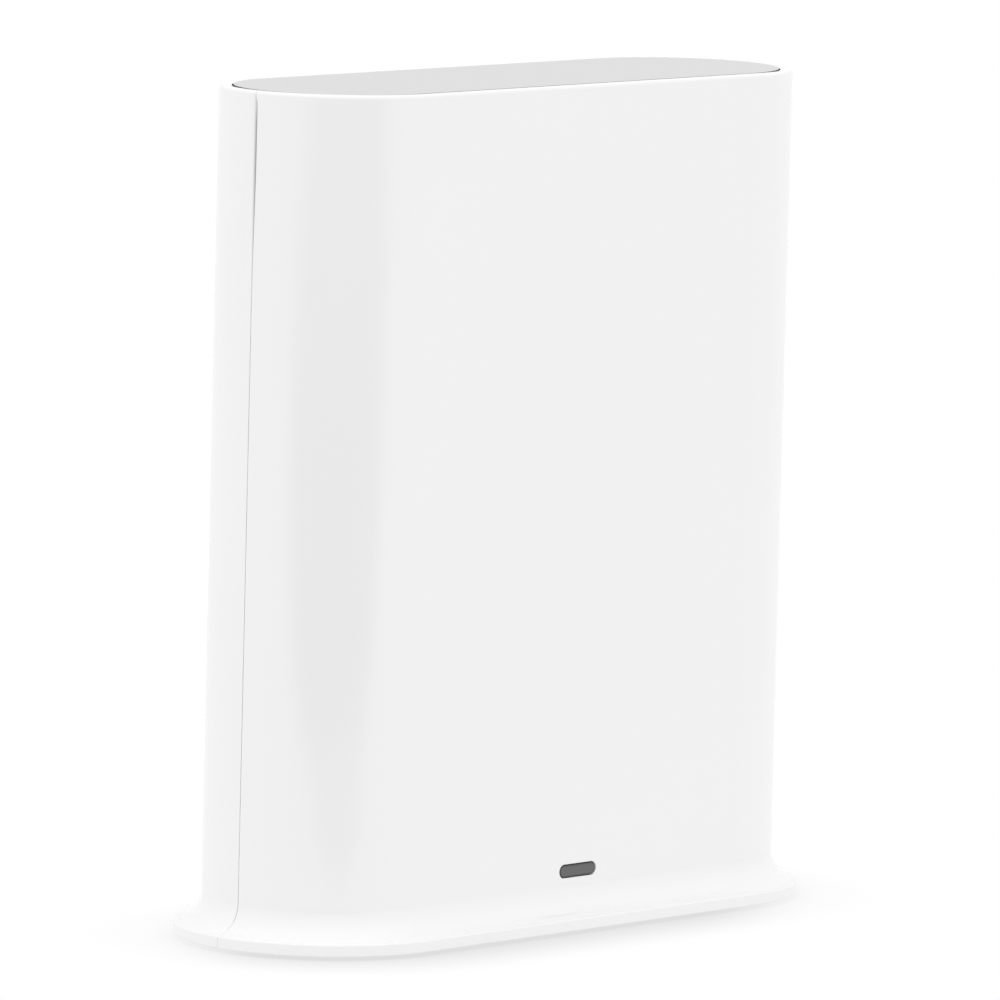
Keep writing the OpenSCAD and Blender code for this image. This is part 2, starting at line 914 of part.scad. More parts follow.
module network_insert() {
  shell_w = 2 * (net_sheet + net_insert_gap);
  color(black)
    difference() {
      along_y(board_back, face_y - net_insert_gap)
        translate([net_x, bay_z])
          square([net_w - shell_w, net_h - shell_w], center = true);
      along_y(face_y - net_plug_depth, face_y + 1) {
        translate([net_x - net_plug_w / 2, net_top - net_plug_h])
          square([net_plug_w, net_plug_h]);
        translate([net_x - net_latch_w / 2, net_top - net_plug_h - net_latch_h])
          square([net_latch_w, net_latch_h + 1]);
      }
      along_y(face_y - net_lamp_t - fit_gap, face_y + 1)
        at_net_lamps()
          square([net_lamp_w + fit_gap, net_lamp_h + fit_gap], center = true);
    }
}

// Sprung wires that slant from the roof of the plug space to its back
module network_contacts() {
  back = face_y - net_plug_depth;
  color(gold)
    for (i = [0 : 7])
      along_x(net_x + (i - 3.5) * net_pitch, net_wire)
        polygon([
          [face_y - net_wire_in, net_top], [face_y - net_wire_in - 2 * net_wire_t, net_top],
          [back, net_top - net_wire_drop + net_wire_t], [back, net_top - net_wire_drop],
          [back + 4 * net_wire_t, net_top - net_wire_drop]
        ]);
}

module network_lamps() {
  color([0.55, 0.75, 0.35])
    along_y(face_y - net_lamp_t - fit_gap, face_y - fit_gap)
      at_net_lamps()
        square([net_lamp_w, net_lamp_h], center = true);
}

module usb_shell() {
  color(metal)
    along_y(board_back, face_y)
      translate([usb_x, bay_z])
        difference() {
          square([usb_w + 2 * usb_sheet, usb_h + 2 * usb_sheet], center = true);
          square([usb_w, usb_h], center = true);
        }
}

module usb_tongue() {
  color(white) {
    along_y(board_back, face_y - usb_depth)
      translate([usb_x, bay_z])
        square([usb_w - 2 * net_insert_gap, usb_h - 2 * net_insert_gap], center = true);
    along_y(face_y - usb_depth - 1, face_y - usb_tongue_in)
      translate([usb_x, usb_tongue_z])
        square([usb_tongue_w, usb_tongue_t], center = true);
  }
}

module usb_contacts() {
  color(gold)
    along_y(face_y - usb_depth, face_y - 2 * usb_tongue_in)
      for (x = [-usb_outer_x, -usb_inner_x, usb_inner_x, usb_outer_x])
        translate([usb_x + x, usb_tongue_z - usb_tongue_t / 2 - usb_strip_t / 2])
          square([usb_strip_w, usb_strip_t], center = true);
}

module power_body() {
  color(black)
    difference() {
      union() {
        along_y(board_back, face_y)
          translate([power_x, bay_z])
            circle(power_nose_r);
        along_y(board_back, tray_back - 1)
          translate([power_x, bay_z])
            square(power_block, center = true);
      }
      along_y(face_y - power_depth, face_y + 1)
        translate([power_x, bay_z])
          circle(power_r);
    }
}

module power_pin() {
  color(metal)
    along_y(face_y - power_depth, face_y - power_pin_in)
      translate([power_x, bay_z])
        circle(power_pin_r);
}

module power_spring() {
  side = sqrt(power_r * power_r - power_spring_w * power_spring_w / 4);
  color(metal)
    along_y(face_y - power_depth, face_y - 2 * power_pin_in)
      translate([power_x, bay_z + side - power_spring_t / 2])
        square([power_spring_w, power_spring_t], center = true);
}

module sync_button() {
  flange_top = tray_back - fit_gap;
  color(white) {
    along_y(flange_top - flange_t, bay_floor + sync_proud)
      translate([sync_x, bay_z])
        circle(sync_r);
    along_y(flange_top - flange_t, flange_top)
      translate([sync_x, bay_z])
        circle(flange_r);
    along_y(plunger_top, flange_top - flange_t)
      translate([sync_x, bay_z])
        circle(stem_r);
  }
}

module sync_plunger() {
  color(black)
    along_y(board_back + switch_h - plunger_in, plunger_top)
      translate([sync_x, bay_z])
        circle(plunger_r);
}

module switch_body(x, r, travel) {
  difference() {
    along_y(board_back, board_back + switch_h)
      translate([x, bay_z])
        square(switch_w, center = true);
    along_y(board_back + switch_h - plunger_in - travel - run_gap, board_back + switch_h + 1)
      translate([x, bay_z])
        circle(r + run_gap);
  }
}

module sync_switch() {
  color(dark_grey)
    switch_body(sync_x, plunger_r, sync_travel);
}

module reset_plunger() {
  color(black)
    along_y(board_back + switch_h - plunger_in, tray_back - reset_back)
      translate([reset_x, bay_z])
        circle(reset_r);
}

module reset_switch() {
  color(dark_grey)
    switch_body(reset_x, reset_r, reset_travel);
}

module main_board() {
  color(green)
    difference() {
      translate([-board_w / 2, board_front, board_z])
        cube([board_w, board_t, board_h]);
      along_y(board_front - 1, board_back + 1)
        at_board_holes()
          circle(board_screw_r + fit_gap);
    }
}

module board_screws() {
  color(metal)
    for (s = [-1, 1], z = [board_hole_low, board_hole_high])
      translate([s * board_hole_x, board_front, z])
        rotate([-90, 0, 0])
          screw(board_screw_r, board_screw_len, 2 * board_screw_r);
}

module processor() {
  color(black)
    on_front(0, sink_z, chip_w, chip_w, chip_t);
}

module thermal_pad() {
  color([0.55, 0.60, 0.70])
    translate([0, -chip_t, 0])
      on_front(0, sink_z, chip_w, chip_w, pad_t);
}

module heat_sink() {
  color(metal) {
    translate([-sink_w / 2, sink_back - sink_base, sink_z - sink_w / 2])
      cube([sink_w, sink_base, sink_w]);
    for (i = [0 : fins - 1])
      translate([i * fin_pitch - sink_w / 2, sink_back - sink_base - fin_h, sink_z - sink_w / 2])
        cube([fin_t, fin_h + sink_base / 2, sink_w]);
  }
}

module memory_chips() {
  color(black)
    for (s = [-1, 1])
      on_front(s * memory_x, board_z + memory_up, memory_w, memory_h, memory_t);
}

// A folded sheet cover, open towards the board
module can(x, z, w, h) {
  difference() {
    on_front(x, z, w, h, can_t);
    on_front(x, z, w - 2 * can_sheet, h - 2 * can_sheet, can_t - can_sheet);
  }
}

module shield_cans() {
  color(metal) {
    for (s = [-1, 1])
      can(s * can_x, sink_z, can_w, can_h);
    can(0, board_z + low_can_up, low_can_w, low_can_h);
  }
}

module network_transformer() {
  color(black)
    on_back(net_x, row_z, net_w, transformer_h, transformer_t);
}

module capacitors() {
  color([0.20, 0.22, 0.30])
    along_y(board_back, board_back + capacitor_len)
      for (s = [-1, 1])
        translate([power_x + s * capacitor_pitch / 2, row_z])
          circle(capacitor_r);
}

module inductors() {
  color(dark_grey)
    for (s = [-1, 1])
      on_back(usb_x + s * inductor_pitch / 2, row_z, inductor_w, inductor_w, inductor_t);
}

module antenna(s) {
  color(green)
    along_y(-in_r, antenna_back)
      difference() {
        translate([s * antenna_x, antenna_z])
          square([antenna_w, antenna_h], center = true);
        for (e = [-1, 1])
          translate([s * antenna_x + e * stake_x, antenna_z])
            circle(stake_r + fit_gap);
      }
}

module antenna_left() {
  antenna(-1);
}

module antenna_right() {
  antenna(1);
}

// A smooth curve from p to q that leaves p and reaches q straight up
function curve(p, q, t) =
  pow(1 - t, 3) * p + 3 * t * pow(1 - t, 2) * (p + [0, 0, lead_pull])
  + 3 * t * t * (1 - t) * (q - [0, 0, lead_pull]) + pow(t, 3) * q;

function heading(p, q, t) =
  let (d = curve(p, q, min(1, t + 0.001)) - curve(p, q, max(0, t - 0.001))) d / norm(d);

// A round lead from p to q, as rings square to the curve
module lead(p, q) {
  side = cross(q - p, [0, 0, 1]) / norm(cross(q - p, [0, 0, 1]));
  points = [
    for (i = [0 : lead_steps], k = [0 : lead_sides - 1])
      let (t = i / lead_steps, up = cross(side, heading(p, q, t)))
        curve(p, q, t) + lead_r * (cos(360 * k / lead_sides) * side + sin(360 * k / lead_sides) * up)
  ];
  walls = [
    for (i = [0 : lead_steps - 1], k = [0 : lead_sides - 1])
      let (n = (k + 1) % lead_sides, a = i * lead_sides, b = a + lead_sides)
        [a + k, a + n, b + n, b + k]
  ];
  ends = [
    [for (k = [0 : lead_sides - 1]) lead_sides - 1 - k],
    [for (k = [0 : lead_sides - 1]) lead_steps * lead_sides + k]
  ];
  polyhedron(points, concat(walls, ends));
}

module antenna_lead(s) {
  color(black)
    lead(
      [s * plug_x, board_front - plug_t / 2, plug_z + plug_w / 2],
      [s * antenna_x, antenna_back + lead_r + fit_gap / 3, antenna_z]
    );
}

module lead_left() {
  antenna_lead(-1);
}

module lead_right() {
  antenna_lead(1);
}

module antenna_plugs() {
  color(gold)
    for (s = [-1, 1])
      on_front(s * plug_x, plug_z, plug_w, plug_w, plug_t);
}

front_shell();
rear_shell();
top_cover();
base_plate();
rubber_feet();
base_screws();
lamp_lens();
light_pipe();
light_shroud();
status_leds();
port_tray();
network_shield();
network_insert();
network_contacts();
network_lamps();
usb_shell();
usb_tongue();
usb_contacts();
power_body();
power_pin();
power_spring();
sync_button();
sync_plunger();
sync_switch();
reset_plunger();
reset_switch();
main_board();
board_screws();
processor();
thermal_pad();
heat_sink();
memory_chips();
shield_cans();
network_transformer();
capacitors();
inductors();
antenna_left();
antenna_right();
lead_left();
lead_right();
antenna_plugs();
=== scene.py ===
import math
from operator import itemgetter
import bpy
import numpy as np
from mathutils import Matrix
from mathutils.geometry import delaunay_2d_cdt


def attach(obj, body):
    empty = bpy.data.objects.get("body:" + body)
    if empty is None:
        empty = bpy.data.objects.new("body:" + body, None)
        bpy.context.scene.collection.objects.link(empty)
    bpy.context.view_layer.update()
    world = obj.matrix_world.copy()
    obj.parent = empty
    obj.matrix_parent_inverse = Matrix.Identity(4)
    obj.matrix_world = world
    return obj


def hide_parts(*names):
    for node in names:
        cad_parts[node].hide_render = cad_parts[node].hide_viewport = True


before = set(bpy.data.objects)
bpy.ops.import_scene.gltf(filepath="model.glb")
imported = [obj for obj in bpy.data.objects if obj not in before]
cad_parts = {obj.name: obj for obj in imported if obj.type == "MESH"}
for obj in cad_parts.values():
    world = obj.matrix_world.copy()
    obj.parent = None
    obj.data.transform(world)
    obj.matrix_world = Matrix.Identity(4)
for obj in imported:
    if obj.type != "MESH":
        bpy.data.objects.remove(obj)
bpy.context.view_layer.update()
scene = bpy.context.scene

# Sizes in millimetres. They follow the part's source, with small changes to the joint, the rim and the cover
MM, FIT = 0.001, 0.15
# Common roundings of edges
CRISP, FINE, EASED, SOFT = 0.05, 0.1, 0.2, 0.3

# Body: half the straight run, the ends' outer and inner radius, the height, and where inner posts end
RUN, END, INSIDE, TOP = 49.3, 23.7, 21.7, 169.2
IN_WALL = INSIDE + 1
# Joint: half its width, its place ahead of the middle plane, its drift and its extra width near the top
SEAM, SEAM_AHEAD, SEAM_DRIFT, SEAM_SPREAD = 0.06, 0.1, 0.43, 0.1
# Radius of the joint's edges outside, what the rear one adds near the top, and the radius inside
SEAM_ROLL, REAR_ROLL, INNER_ROLL = 0.1, 1.1, 0.03
# Starts below the top, and lengths: of the slack and of its end, and of the painted shade in the joint with
# its least share
SLACK, SLACK_END, SHADE = (1.0, 1.2), (12, 30), (0.5, 6, 0.2)
# Height over which the joint closes and its least share; start and length of the painted shade, in degrees of
# lean
CLOSING, DARK = (3, 0.25), (32, 26)

# Skirt: radius, foot and top of its edge, the slope above it, and the radius of the hollow flare
SKIRT, SKIRT_FOOT, SKIRT_EDGE, SKIRT_SLOPE, HOLLOW = 29.25, 0.6, 2.95, math.radians(13), 6.0
SLOPE_TOP = SKIRT_EDGE + (SKIRT - END) * math.tan(SKIRT_SLOPE)
# Base plate: lower and upper face, and the radius of the opening that it fills
PLATE_Z, SEAT, PLATE_OPEN = 1.0, 3.2, 25.1
# Rim: inner radius, lift outside and dip inside, and the ledge that carries the cover
RIM, RIM_LIFT, RIM_DIP, LEDGE, LEDGE_T = 21.2, 0.155, 0.4, 20.0, 1.5
# Roundings of the wall's corners, from the skirt's inner foot outwards and round
WALL_ROUNDS = [0.15, 0.25, 0.3, HOLLOW, 0.8, 0.04, 0, 0.1, 0.1, 0, 0.1, 0]
# Cover: radius, lower and upper face, how much shorter its run is, and the rounding of its upper edge
COVER, COVER_Z, COVER_TOP, COVER_SHORT, COVER_EASE = 20.95, 167.2, 169.01, 0.12, 0.03
# The cover's ring, and its snap hooks just under the ledge
RING, RING_T, RING_H, UNDER_LEDGE = 19.7, 1.2, 5.0, COVER_Z - 1.65
HOOK_BACK, HOOK_NOSE, HOOK_H, HOOK_HALF, HOOK_X = 19.1, 20.6, 2, 5, (-30.0, 0.0, 30.0)
# Curved bars as radii, heights and swing in degrees: the lips behind the joint, and the rib's ends
LIPS, RIB_ENDS = (20.55, 21.55, SEAT + 3.3, UNDER_LEDGE, 6.6), (20.0, 21.4, SEAT - 0.2, SEAT + 3, 80.0)
RIB, RIB_Y, BAR_ROUND, BAR_STEPS = (92.0, 1.4, 0.2), 20.7, 0.15, 12

# Status lamp: size and height, face and back, what its flange adds, and its rounding
LAMP_W, LAMP_H, LAMP_Z = 10.4, 2.45, 11.65
LAMP_FACE, LAMP_BACK, LAMP_FLANGE, LAMP_EASE = -23.6, -20.7, 2.4, 0.25
# Port bay, and the faces of the tray, the sockets and the board
BAY_W, BAY_H, BAY_Z, BAY_R, BAY_FLOOR, BAY_EASE = 78.0, 25.0, 28.0, 5.0, 17.7, 0.4
TRAY_BACK, FACE, BOARD_BACK, TRAY_EASE = 16.1, 17.5, 1.5, 0.25
NET, USB, POWER, SYNC, RESET = ((x, BAY_Z) for x in (-12.0, 6.0, -30.0, 29.0, 19.0))
# Corners of the tray's profile, as offset from its outline and depth, and their roundings
TRAY_CORNERS = [(-0.3, TRAY_BACK), (0, TRAY_BACK), (0, INSIDE - 1.5), (2, INSIDE - 1.5), (2, INSIDE),
                (0, INSIDE), (0, END - FIT), (-1.5, END - FIT), (-1.5, BAY_FLOOR), (-2.4, BAY_FLOOR)]
TRAY_ROUNDS = [0, 0.2, 0, 0.15, 0.15, 0, 0.35, 0.4, 0.8, 0]
# Slots in the back and in the base plate: number, length, pitch and height, then their width and rounding
VENTS, BASE_SLOTS, SLOT_W, VENT_EASE = (15, 20.0, 5.0, 141.2), (9, 14.0, 8.0, 0), 2.0, 0.35
# Screw posts with their pilot holes, and the screws' holes in the base plate
BOSS_Y, BOSS_R, BOSS_H, PILOT_R, PILOT_DEPTH = 18.7, 3.5, 14.0, 1.55, 11
SCREW_BORE, HEAD_BORE, HEAD_DEPTH, HEAD_EASE = 1.65, 3.1, 1.2, 0.15
# Feet: size, distance from the end's axis, turn in degrees, depth and rounding of the pockets and the pads
FOOT_W, FOOT_LEN, FOOT_R, FOOT_TURN, FOOT_POCKET = 6.0, 17.0, 18.0, 40.0, 0.6
FOOT_LIP, FOOT_EASE = 0.15, 0.5
# Board posts and their fins, and the antennas' stakes
HOLE_X, HOLE_LOW, HOLE_HIGH = 46.0, 20.95, 120.95
POST_R, POST_BORE, POST_DEPTH, POST_FIN, FIN_FROM = 3.0, 1.3, 13.5, (1.4, 12.0, 0.25), 7.5
ANTENNA_Z, ANTENNA_X, STAKE_X, STAKE_R, STAKE_END = 146.2, 27.0, 14.0, 1.0, 20.5

# Sockets: width, height and corner of each outline
NET_WINDOW, NET_SLEEVE, NET_INSIDE = (16.4, 13.8, 0.3), (16.0, 13.4, 0.5), (15.2, 12.6, 0.15)
USB_WINDOW, USB_SLEEVE, USB_INSIDE = (13.6, 6.2, 0.5), (13.2, 5.8, 0.65), (12.5, 5.1, 0.4)
NET_CORE, LINK_POCKET, LINK_LAMP = (15.1, 12.5, 0.12), (2.75, 1.75, 0.3), (2.6, 1.6, 0.25)
USB_BLOCK, USB_TONGUE, POWER_BLOCK = (12.4, 5.0, 0.3), (11.0, 1.84, 0.35), (9.4, 9.4, 0.4)
NET_EASE, USB_EASE, CORE_SET = 0.14, 0.12, 0.05
# The plug's space: top above the middle, drop to the shoulder and to the foot, half widths, and depth
PLUG_TOP, PLUG_SHOULDER, PLUG_FOOT, PLUG_HALF, LATCH_HALF, PLUG_DEPTH = 4, 7, 9.3, 5.95, 3.1, 12.3
LINK_X, LINK_DROP, LINK_BACK, LINK_FACE = 5.2, 8.6, FACE - 0.95, FACE - 0.15
BLOCK_FACE, TONGUE_ROOT, TONGUE_TIP, TONGUE_RISE = FACE - 9.6, FACE - 10.6, FACE - 0.8, 0.85
POWER_WINDOW, NOSE_R, NOSE_BORE, NOSE_DEPTH, NOSE_LIP = 4.45, 4.25, 3.15, 9.5, 0.35
POWER_BACK, PIN_R, PIN_TIP, PIN_ROUND = TRAY_BACK - 1, 1, FACE - 1, 0.55
# Sync button and reset hole: windows, and guide tubes as place, outer radius, bore and back end
SYNC_WINDOW, RESET_WINDOW = 4.5, 1.0
GUIDE_TUBES = ((SYNC, 6.8, 5.8, 12.1), (RESET, 2.5, 1.5, 13.1))
# Corners of the sync button's profile, as radius and depth, their roundings, and the dish in its cap
CAP_TOP, DISH_R, DISH, DISH_ROWS = BAY_FLOOR + 1.2, 3.3, 0.22, 24
CAP_CORNERS = [(0, 6.5), (2, 6.5), (2, 14.95), (5.5, 14.95), (5.5, 15.95), (4.2, 15.95), (4.2, CAP_TOP),
               (DISH_R, CAP_TOP)]
CAP_ROUNDS = [0, 0.1, 0.2, 0.1, 0.1, 0, 0.55, 0]

# Fineness of the meshes
ARC_STEP, WALL_ARC_STEP = math.radians(11), math.radians(5)
WALL_ROWS, ROLL_STEPS, END_STEPS = 30, 9, 60
PIN_STEPS, HOLE_STEPS, ROUND_STEPS = 24, 32, 64
THIN, NEAR, SAME_POINT, WELDS_PER_MM = 1e-3, 1e-6, 1e-5, 1e4

UPRIGHT = np.eye(3)
FACING_BACK = np.array([[1.0, 0, 0], [0, 0, 1], [0, 1, 0]])
ALONG_BODY = np.array([[0, 1.0, 0], [0, 0, 1], [1, 0, 0]])
QUARTERS = [(sx, sy) for sx in (-1, 1) for sy in (-1, 1)]


def unit(v):
    """Vectors divided by their lengths."""
    return v / np.maximum(np.linalg.norm(v, axis=-1, keepdims=True), 1e-12)


def grow(v, start, over, least=0.0):
    """A share that grows evenly with v to 1, from a start and over a length, and is never under least."""
    return np.clip((v - start) / over, least, 1)


def smooth(t):
    """A share eased at both ends: three times its square, less twice its cube."""
    return t * t * (3 - 2 * t)


def rounded_line(corners, radii, closed=False, step=ARC_STEP):
    """Straight runs with rounded corners, where the heading turns evenly and the point stays one radius from
    the arc's centre. Rows are x, y and the normal on the right hand; a radius of 0 gives two at one point."""
    c = np.asarray(corners, float)
    ahead = unit(np.roll(c, -1, 0) - c)
    before = np.roll(ahead, 1, 0)
    if not closed:
        before[0], ahead[-1] = ahead[0], ahead[-2]
    rows = []
    for p, r, d0, d1 in zip(c, radii, before, ahead):
        turn = math.atan2(d0[0] * d1[1] - d0[1] * d1[0], d0 @ d1)
        n = max(2, int(abs(turn) / step) + 1) if r > 0 else 2
        angle = np.linspace(0, turn, n)
        cos, sin = np.cos(angle), np.sin(angle)
        right = np.stack([sin * d0[0] + cos * d0[1], -(cos * d0[0] - sin * d0[1])], -1)
        sign = math.copysign(1.0, turn)
        centre = p - d0 * r * math.tan(abs(turn) / 2) + sign * r * np.array([-d0[1], d0[0]])
        at = centre + sign * r * right if r > 0 else np.repeat(p[None], n, 0)
        rows.append(np.concatenate([at, right], 1))
    return np.concatenate(rows)


def edge(low, high, low_round, high_round):
    """The profile of a plate's edge: up from low to high at offset 0, with both corners rounded inwards."""
    a, b = max(low_round, THIN), max(high_round, THIN)
    return rounded_line([(-a, low), (0, low), (0, high), (-b, high)], [0, low_round, high_round, 0])


def pocket_up(floor, face, lip):
    """A pocket's profile in a plate's upper face: from the floor up to the face."""
    return rounded_line([(0, floor), (0, face), (-lip, face)], [0, lip, 0])


def pocket_down(face, floor, lip=FINE):
    """A pocket's profile in a plate's lower face: from the face up to the floor."""
    return rounded_line([(-lip, face), (0, face), (0, floor)], [0, lip, 0])


def pill(w, h, at=(0, 0), turn=0.0, steps=25):
    """Two half circles of radius h/2 joined by straight lines: an angle in a half, and the half."""
    a = np.radians(np.linspace(-90, 90, steps)[None] + np.array([[0], [180]]))
    n = np.stack([np.cos(a), np.sin(a)], -1)
    p = n * h / 2 + np.array([1, -1])[:, None, None] * ((w - h) / 2, 0)
    p, n = p.reshape(-1, 2), n.reshape(-1, 2)
    c, s = math.cos(math.radians(turn)), math.sin(math.radians(turn))
    m = np.array([[c, s], [-s, c]])
    return p @ m + at, n @ m


def slot_row(count, length, pitch, height):
    """A row of upright slots, evenly spaced about the middle."""
    return [pill(length, SLOT_W, ((i - (count - 1) / 2) * pitch, height), 90) for i in range(count)]


def disc(r, at=(0, 0), steps=48):
    """A circle of radius r: one angle."""
    a = np.linspace(0, 2 * np.pi, steps, endpoint=False)
    n = np.stack([np.cos(a), np.sin(a)], -1)
    return n * r + at, n


def outline(corners, radii):
    """A closed outline of straight runs and rounded corners, drawn anticlockwise."""
    rows = rounded_line(corners, radii, True)
    return rows[:, :2], rows[:, 2:]


def panel(w, h, r, at=(0, 0)):
    """A rectangle with its four corners rounded by r."""
    c = np.array([[-1, -1], [1, -1], [1, 1], [-1, 1]]) * (w, h) / 2 + at
    return outline(c, [r] * 4)


def stadium(r, run=RUN):
    """The plan of the body at radius r."""
    return pill(2 * (run + r), 2 * r, steps=97)


def lifted(flat, height):
    """Flat points or normals with a height."""
    return np.concatenate([flat, np.broadcast_to(height, flat.shape[:-1])[..., None]], -1)


def fill(*loops):
    """The flat area inside the first outline and outside the others: a Delaunay mesh along the outlines, of
    which a triangle stays if a level line from its middle crosses them an odd number of times."""
    counts = [len(loop) for loop in loops]
    starts = np.cumsum([0] + counts[:-1])
    rings = [np.arange(n) + s for n, s in zip(counts, starts)]
    edges = np.concatenate([np.stack([ring, np.roll(ring, -1)], 1) for ring in rings])
    points = np.concatenate(loops)
    made = delaunay_2d_cdt(points.tolist(), edges.tolist(), [], 0, SAME_POINT)
    tris = np.fromiter(map(itemgetter(0), made[3]), int)[np.array(made[2])]
    x, y = points[tris].mean(1).T[:, :, None]
    (x0, y0), (x1, y1) = points[edges[:, 0]].T, points[edges[:, 1]].T
    level = np.where(y0 == y1, 1.0, y1 - y0)
    crossed = ((y0 > y) != (y1 > y)) & (x < x0 + (y - y0) * (x1 - x0) / level)
    return points, tris[crossed.sum(1) % 2 == 1]


def placed(name, data):
    """A new object in the scene."""
    thing = bpy.data.objects.new(name, data)
    scene.collection.objects.link(thing)
    return thing


class Moulding:
    """Patches of one piece in millimetres: points, outward normals and triangles."""

    def __init__(self):
        self.points, self.normals, self.tris, self.depths, self.count = [], [], [], [], 0
        self.turn = UPRIGHT

    def patch(self, points, normals, tris, depth=0.0):
        """Adds triangles, each turned to face along its normals; depth is the share of painted shade at a
        point deep in a joint.
        """
        p = points.reshape(-1, 3) @ self.turn
        n = unit(normals.reshape(-1, 3)) @ self.turn
        t = tris.reshape(-1, 3)
        face = np.cross(p[t[:, 1]] - p[t[:, 0]], p[t[:, 2]] - p[t[:, 0]])
        wrong = np.einsum("ij,ij->i", face, n[t].sum(1)) < 0
        t = np.where(wrong[:, None], t[:, ::-1], t)
        self.points.append(p)
        self.normals.append(n)
        self.tris.append(t + self.count)
        self.depths.append(np.broadcast_to(depth, points.shape[:-1]).ravel())
        self.count += len(p)

    def grid(self, points, normals, closed=(False, False), skip=(), depth=0.0):
        """Adds a surface of two parameters; skip leaves out columns of cells."""
        u, v = points.shape[:2]
        i = np.arange(u * v).reshape(u, v)
        i = np.concatenate([i, i[:1]], 0) if closed[0] else i
        i = np.concatenate([i, i[:, :1]], 1) if closed[1] else i
        keep = np.setdiff1d(np.arange(i.shape[1] - 1), skip)
        a, b, c, d = i[:-1, keep], i[1:, keep], i[1:, keep + 1], i[:-1, keep + 1]
        tris = np.concatenate([np.stack([a, b, c], -1), np.stack([a, c, d], -1)])
        self.patch(points, normals, tris, depth)

    def carry(self, shape, profile, axes=FACING_BACK, side=1):
        """Adds a profile carried round an outline, or inside it for a side of -1: outline point plus normal
        times the offset, at the profile's height. The surface normal mixes the outline's normal and the
        height in the same way. Returns the outlines of the two ends."""
        p, n = shape[0][:, None], shape[1][:, None] * side
        off, high, n_off, n_high = profile.T
        flat = p + n * off[:, None]
        self.grid(lifted(flat, high) @ axes, lifted(n * n_off[:, None], n_high) @ axes, (True, False))
        return flat[:, 0], flat[:, -1]

    def face(self, loops, height, up, axes=FACING_BACK):
        """Adds a flat face between outlines, at one height."""
        p, t = fill(*loops)
        points = lifted(p, height)
        normals = np.broadcast_to(np.array([0.0, 0, up]), points.shape)
        self.patch(points @ axes, normals @ axes, t)

    def slab(self, shape, profile, holes=(), axes=FACING_BACK, low_pockets=(), high_pockets=()):
        """Adds a plate: its edge profile carried round the outline, its holes' profiles round theirs, and
        flat faces between. A pocket is an outline and a profile between its floor and the face."""
        walls = [self.carry(shape, profile, axes)] + [self.carry(*hole, axes, -1) for hole in holes]
        below, above = map(list, zip(*walls))
        for pocket, rows in low_pockets:
            lip, floor = self.carry(pocket, rows, axes, -1)
            self.face([floor], rows[-1, 1], -1.0, axes)
            below.append(lip)
        for pocket, rows in high_pockets:
            floor, lip = self.carry(pocket, rows, axes, -1)
            self.face([floor], rows[0, 1], 1.0, axes)
            above.append(lip)
        self.face(below, profile[0, 1], -1.0, axes)
        self.face(above, profile[-1, 1], 1.0, axes)

    def make(self, name, body, slot, material, *nodes):
        """Welds equal points, drops empty triangles and makes the piece, with its normals on the corners."""
        p, n, t, d = map(np.concatenate, (self.points, self.normals, self.tris, self.depths))
        whole = np.round(p * WELDS_PER_MM).astype(np.int64)
        _, first, back = np.unique(whole, axis=0, return_index=True, return_inverse=True)
        w = back.ravel()[t]
        solid = (w[:, 0] != w[:, 1]) & (w[:, 1] != w[:, 2]) & (w[:, 2] != w[:, 0])
        w, corner = w[solid], n[t[solid]].reshape(-1, 3)
        mesh = bpy.data.meshes.new(name)
        mesh.from_pydata((p[first] * MM).tolist(), [], w.tolist())
        mesh.shade_smooth()
        mesh.normals_split_custom_set(corner.tolist())
        # The painted shade in the joint goes onto the mesh as an attribute, which the shell's material reads
        depth = np.zeros(len(first))
        np.maximum.at(depth, back.ravel(), d)
        if depth.any():
            mesh.attributes.new("joint_painted_shade", "FLOAT", "POINT").data.foreach_set("value", depth)
        mesh.materials.append(material)
        piece = placed(name, mesh)
        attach(piece, body)
        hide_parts(*nodes)


# Finishes

# The range that a noise mostly fills
NOISE_RANGE = (0.3, 0.7)
# Depths of bumps, in metres, and the strength of a metal's
FAINT, SHALLOW, MEDIUM, DEEP, METAL_BUMP = 0.00002, 0.00003, 0.00005, 0.00006, 0.08
# Linear greys: the lens's face and rim, the painted shade at the bottom of the joint, and the painted shade
# on the cover's sides
LENS_FACE, LENS_RIM, JOINT_SHADE, COVER_PAINTED_SHADE = 0.11, 0.05, 0.3, 0.03
# Where the shade turns: metres from the lens's middle line, and millimetres below the cover's face for its
# painted side shade
LENS_EDGE, SIDE_EDGE = (0.00072, 0.00118), (0.005, 0.03)
BOARD_TONES, TRACK_SCALE, TRACK_GAP = ((0.012, 0.075, 0.035), (0.03, 0.14, 0.06)), 260.0, 0.09


def node(tree, kind, given=(), out=0, **settings):
    """A node with its settings, and its inputs as numbers or sockets; returns one output, or all for None."""
    n = tree.nodes.new("ShaderNode" + kind)
    for label, v in settings.items():
        setattr(n, label, v)
    for label, v in dict(given).items():
        if isinstance(v, bpy.types.NodeSocket):
            tree.links.new(v, n.inputs[label])
        else:
            n.inputs[label].default_value = v
    return n.outputs if out is None else n.outputs[out]


def maths(tree, kind, *values):
    """A math node."""
    return node(tree, "Math", enumerate(values), operation=kind)


def remap(tree, value, low, high, to_low=0.0, to_high=1.0, eased=False):
    """Carries one range of a value to another, evenly or eased at both ends."""
    given = {"Value": value, "From Min": low, "From Max": high, "To Min": to_low, "To Max": to_high}
    return node(tree, "MapRange", given, interpolation_type="SMOOTHSTEP" if eased else "LINEAR")


def along(tree, where, way):
    """How far a place lies along a direction."""
    return node(tree, "VectorMath", enumerate((where, way)), "Value", operation="DOT_PRODUCT")


def noise(tree, vector, scale, detail, rough):
    """A noise texture."""
    given = {"Vector": vector, "Scale": scale, "Detail": detail, "Roughness": rough}
    return node(tree, "TexNoise", given, "Fac")


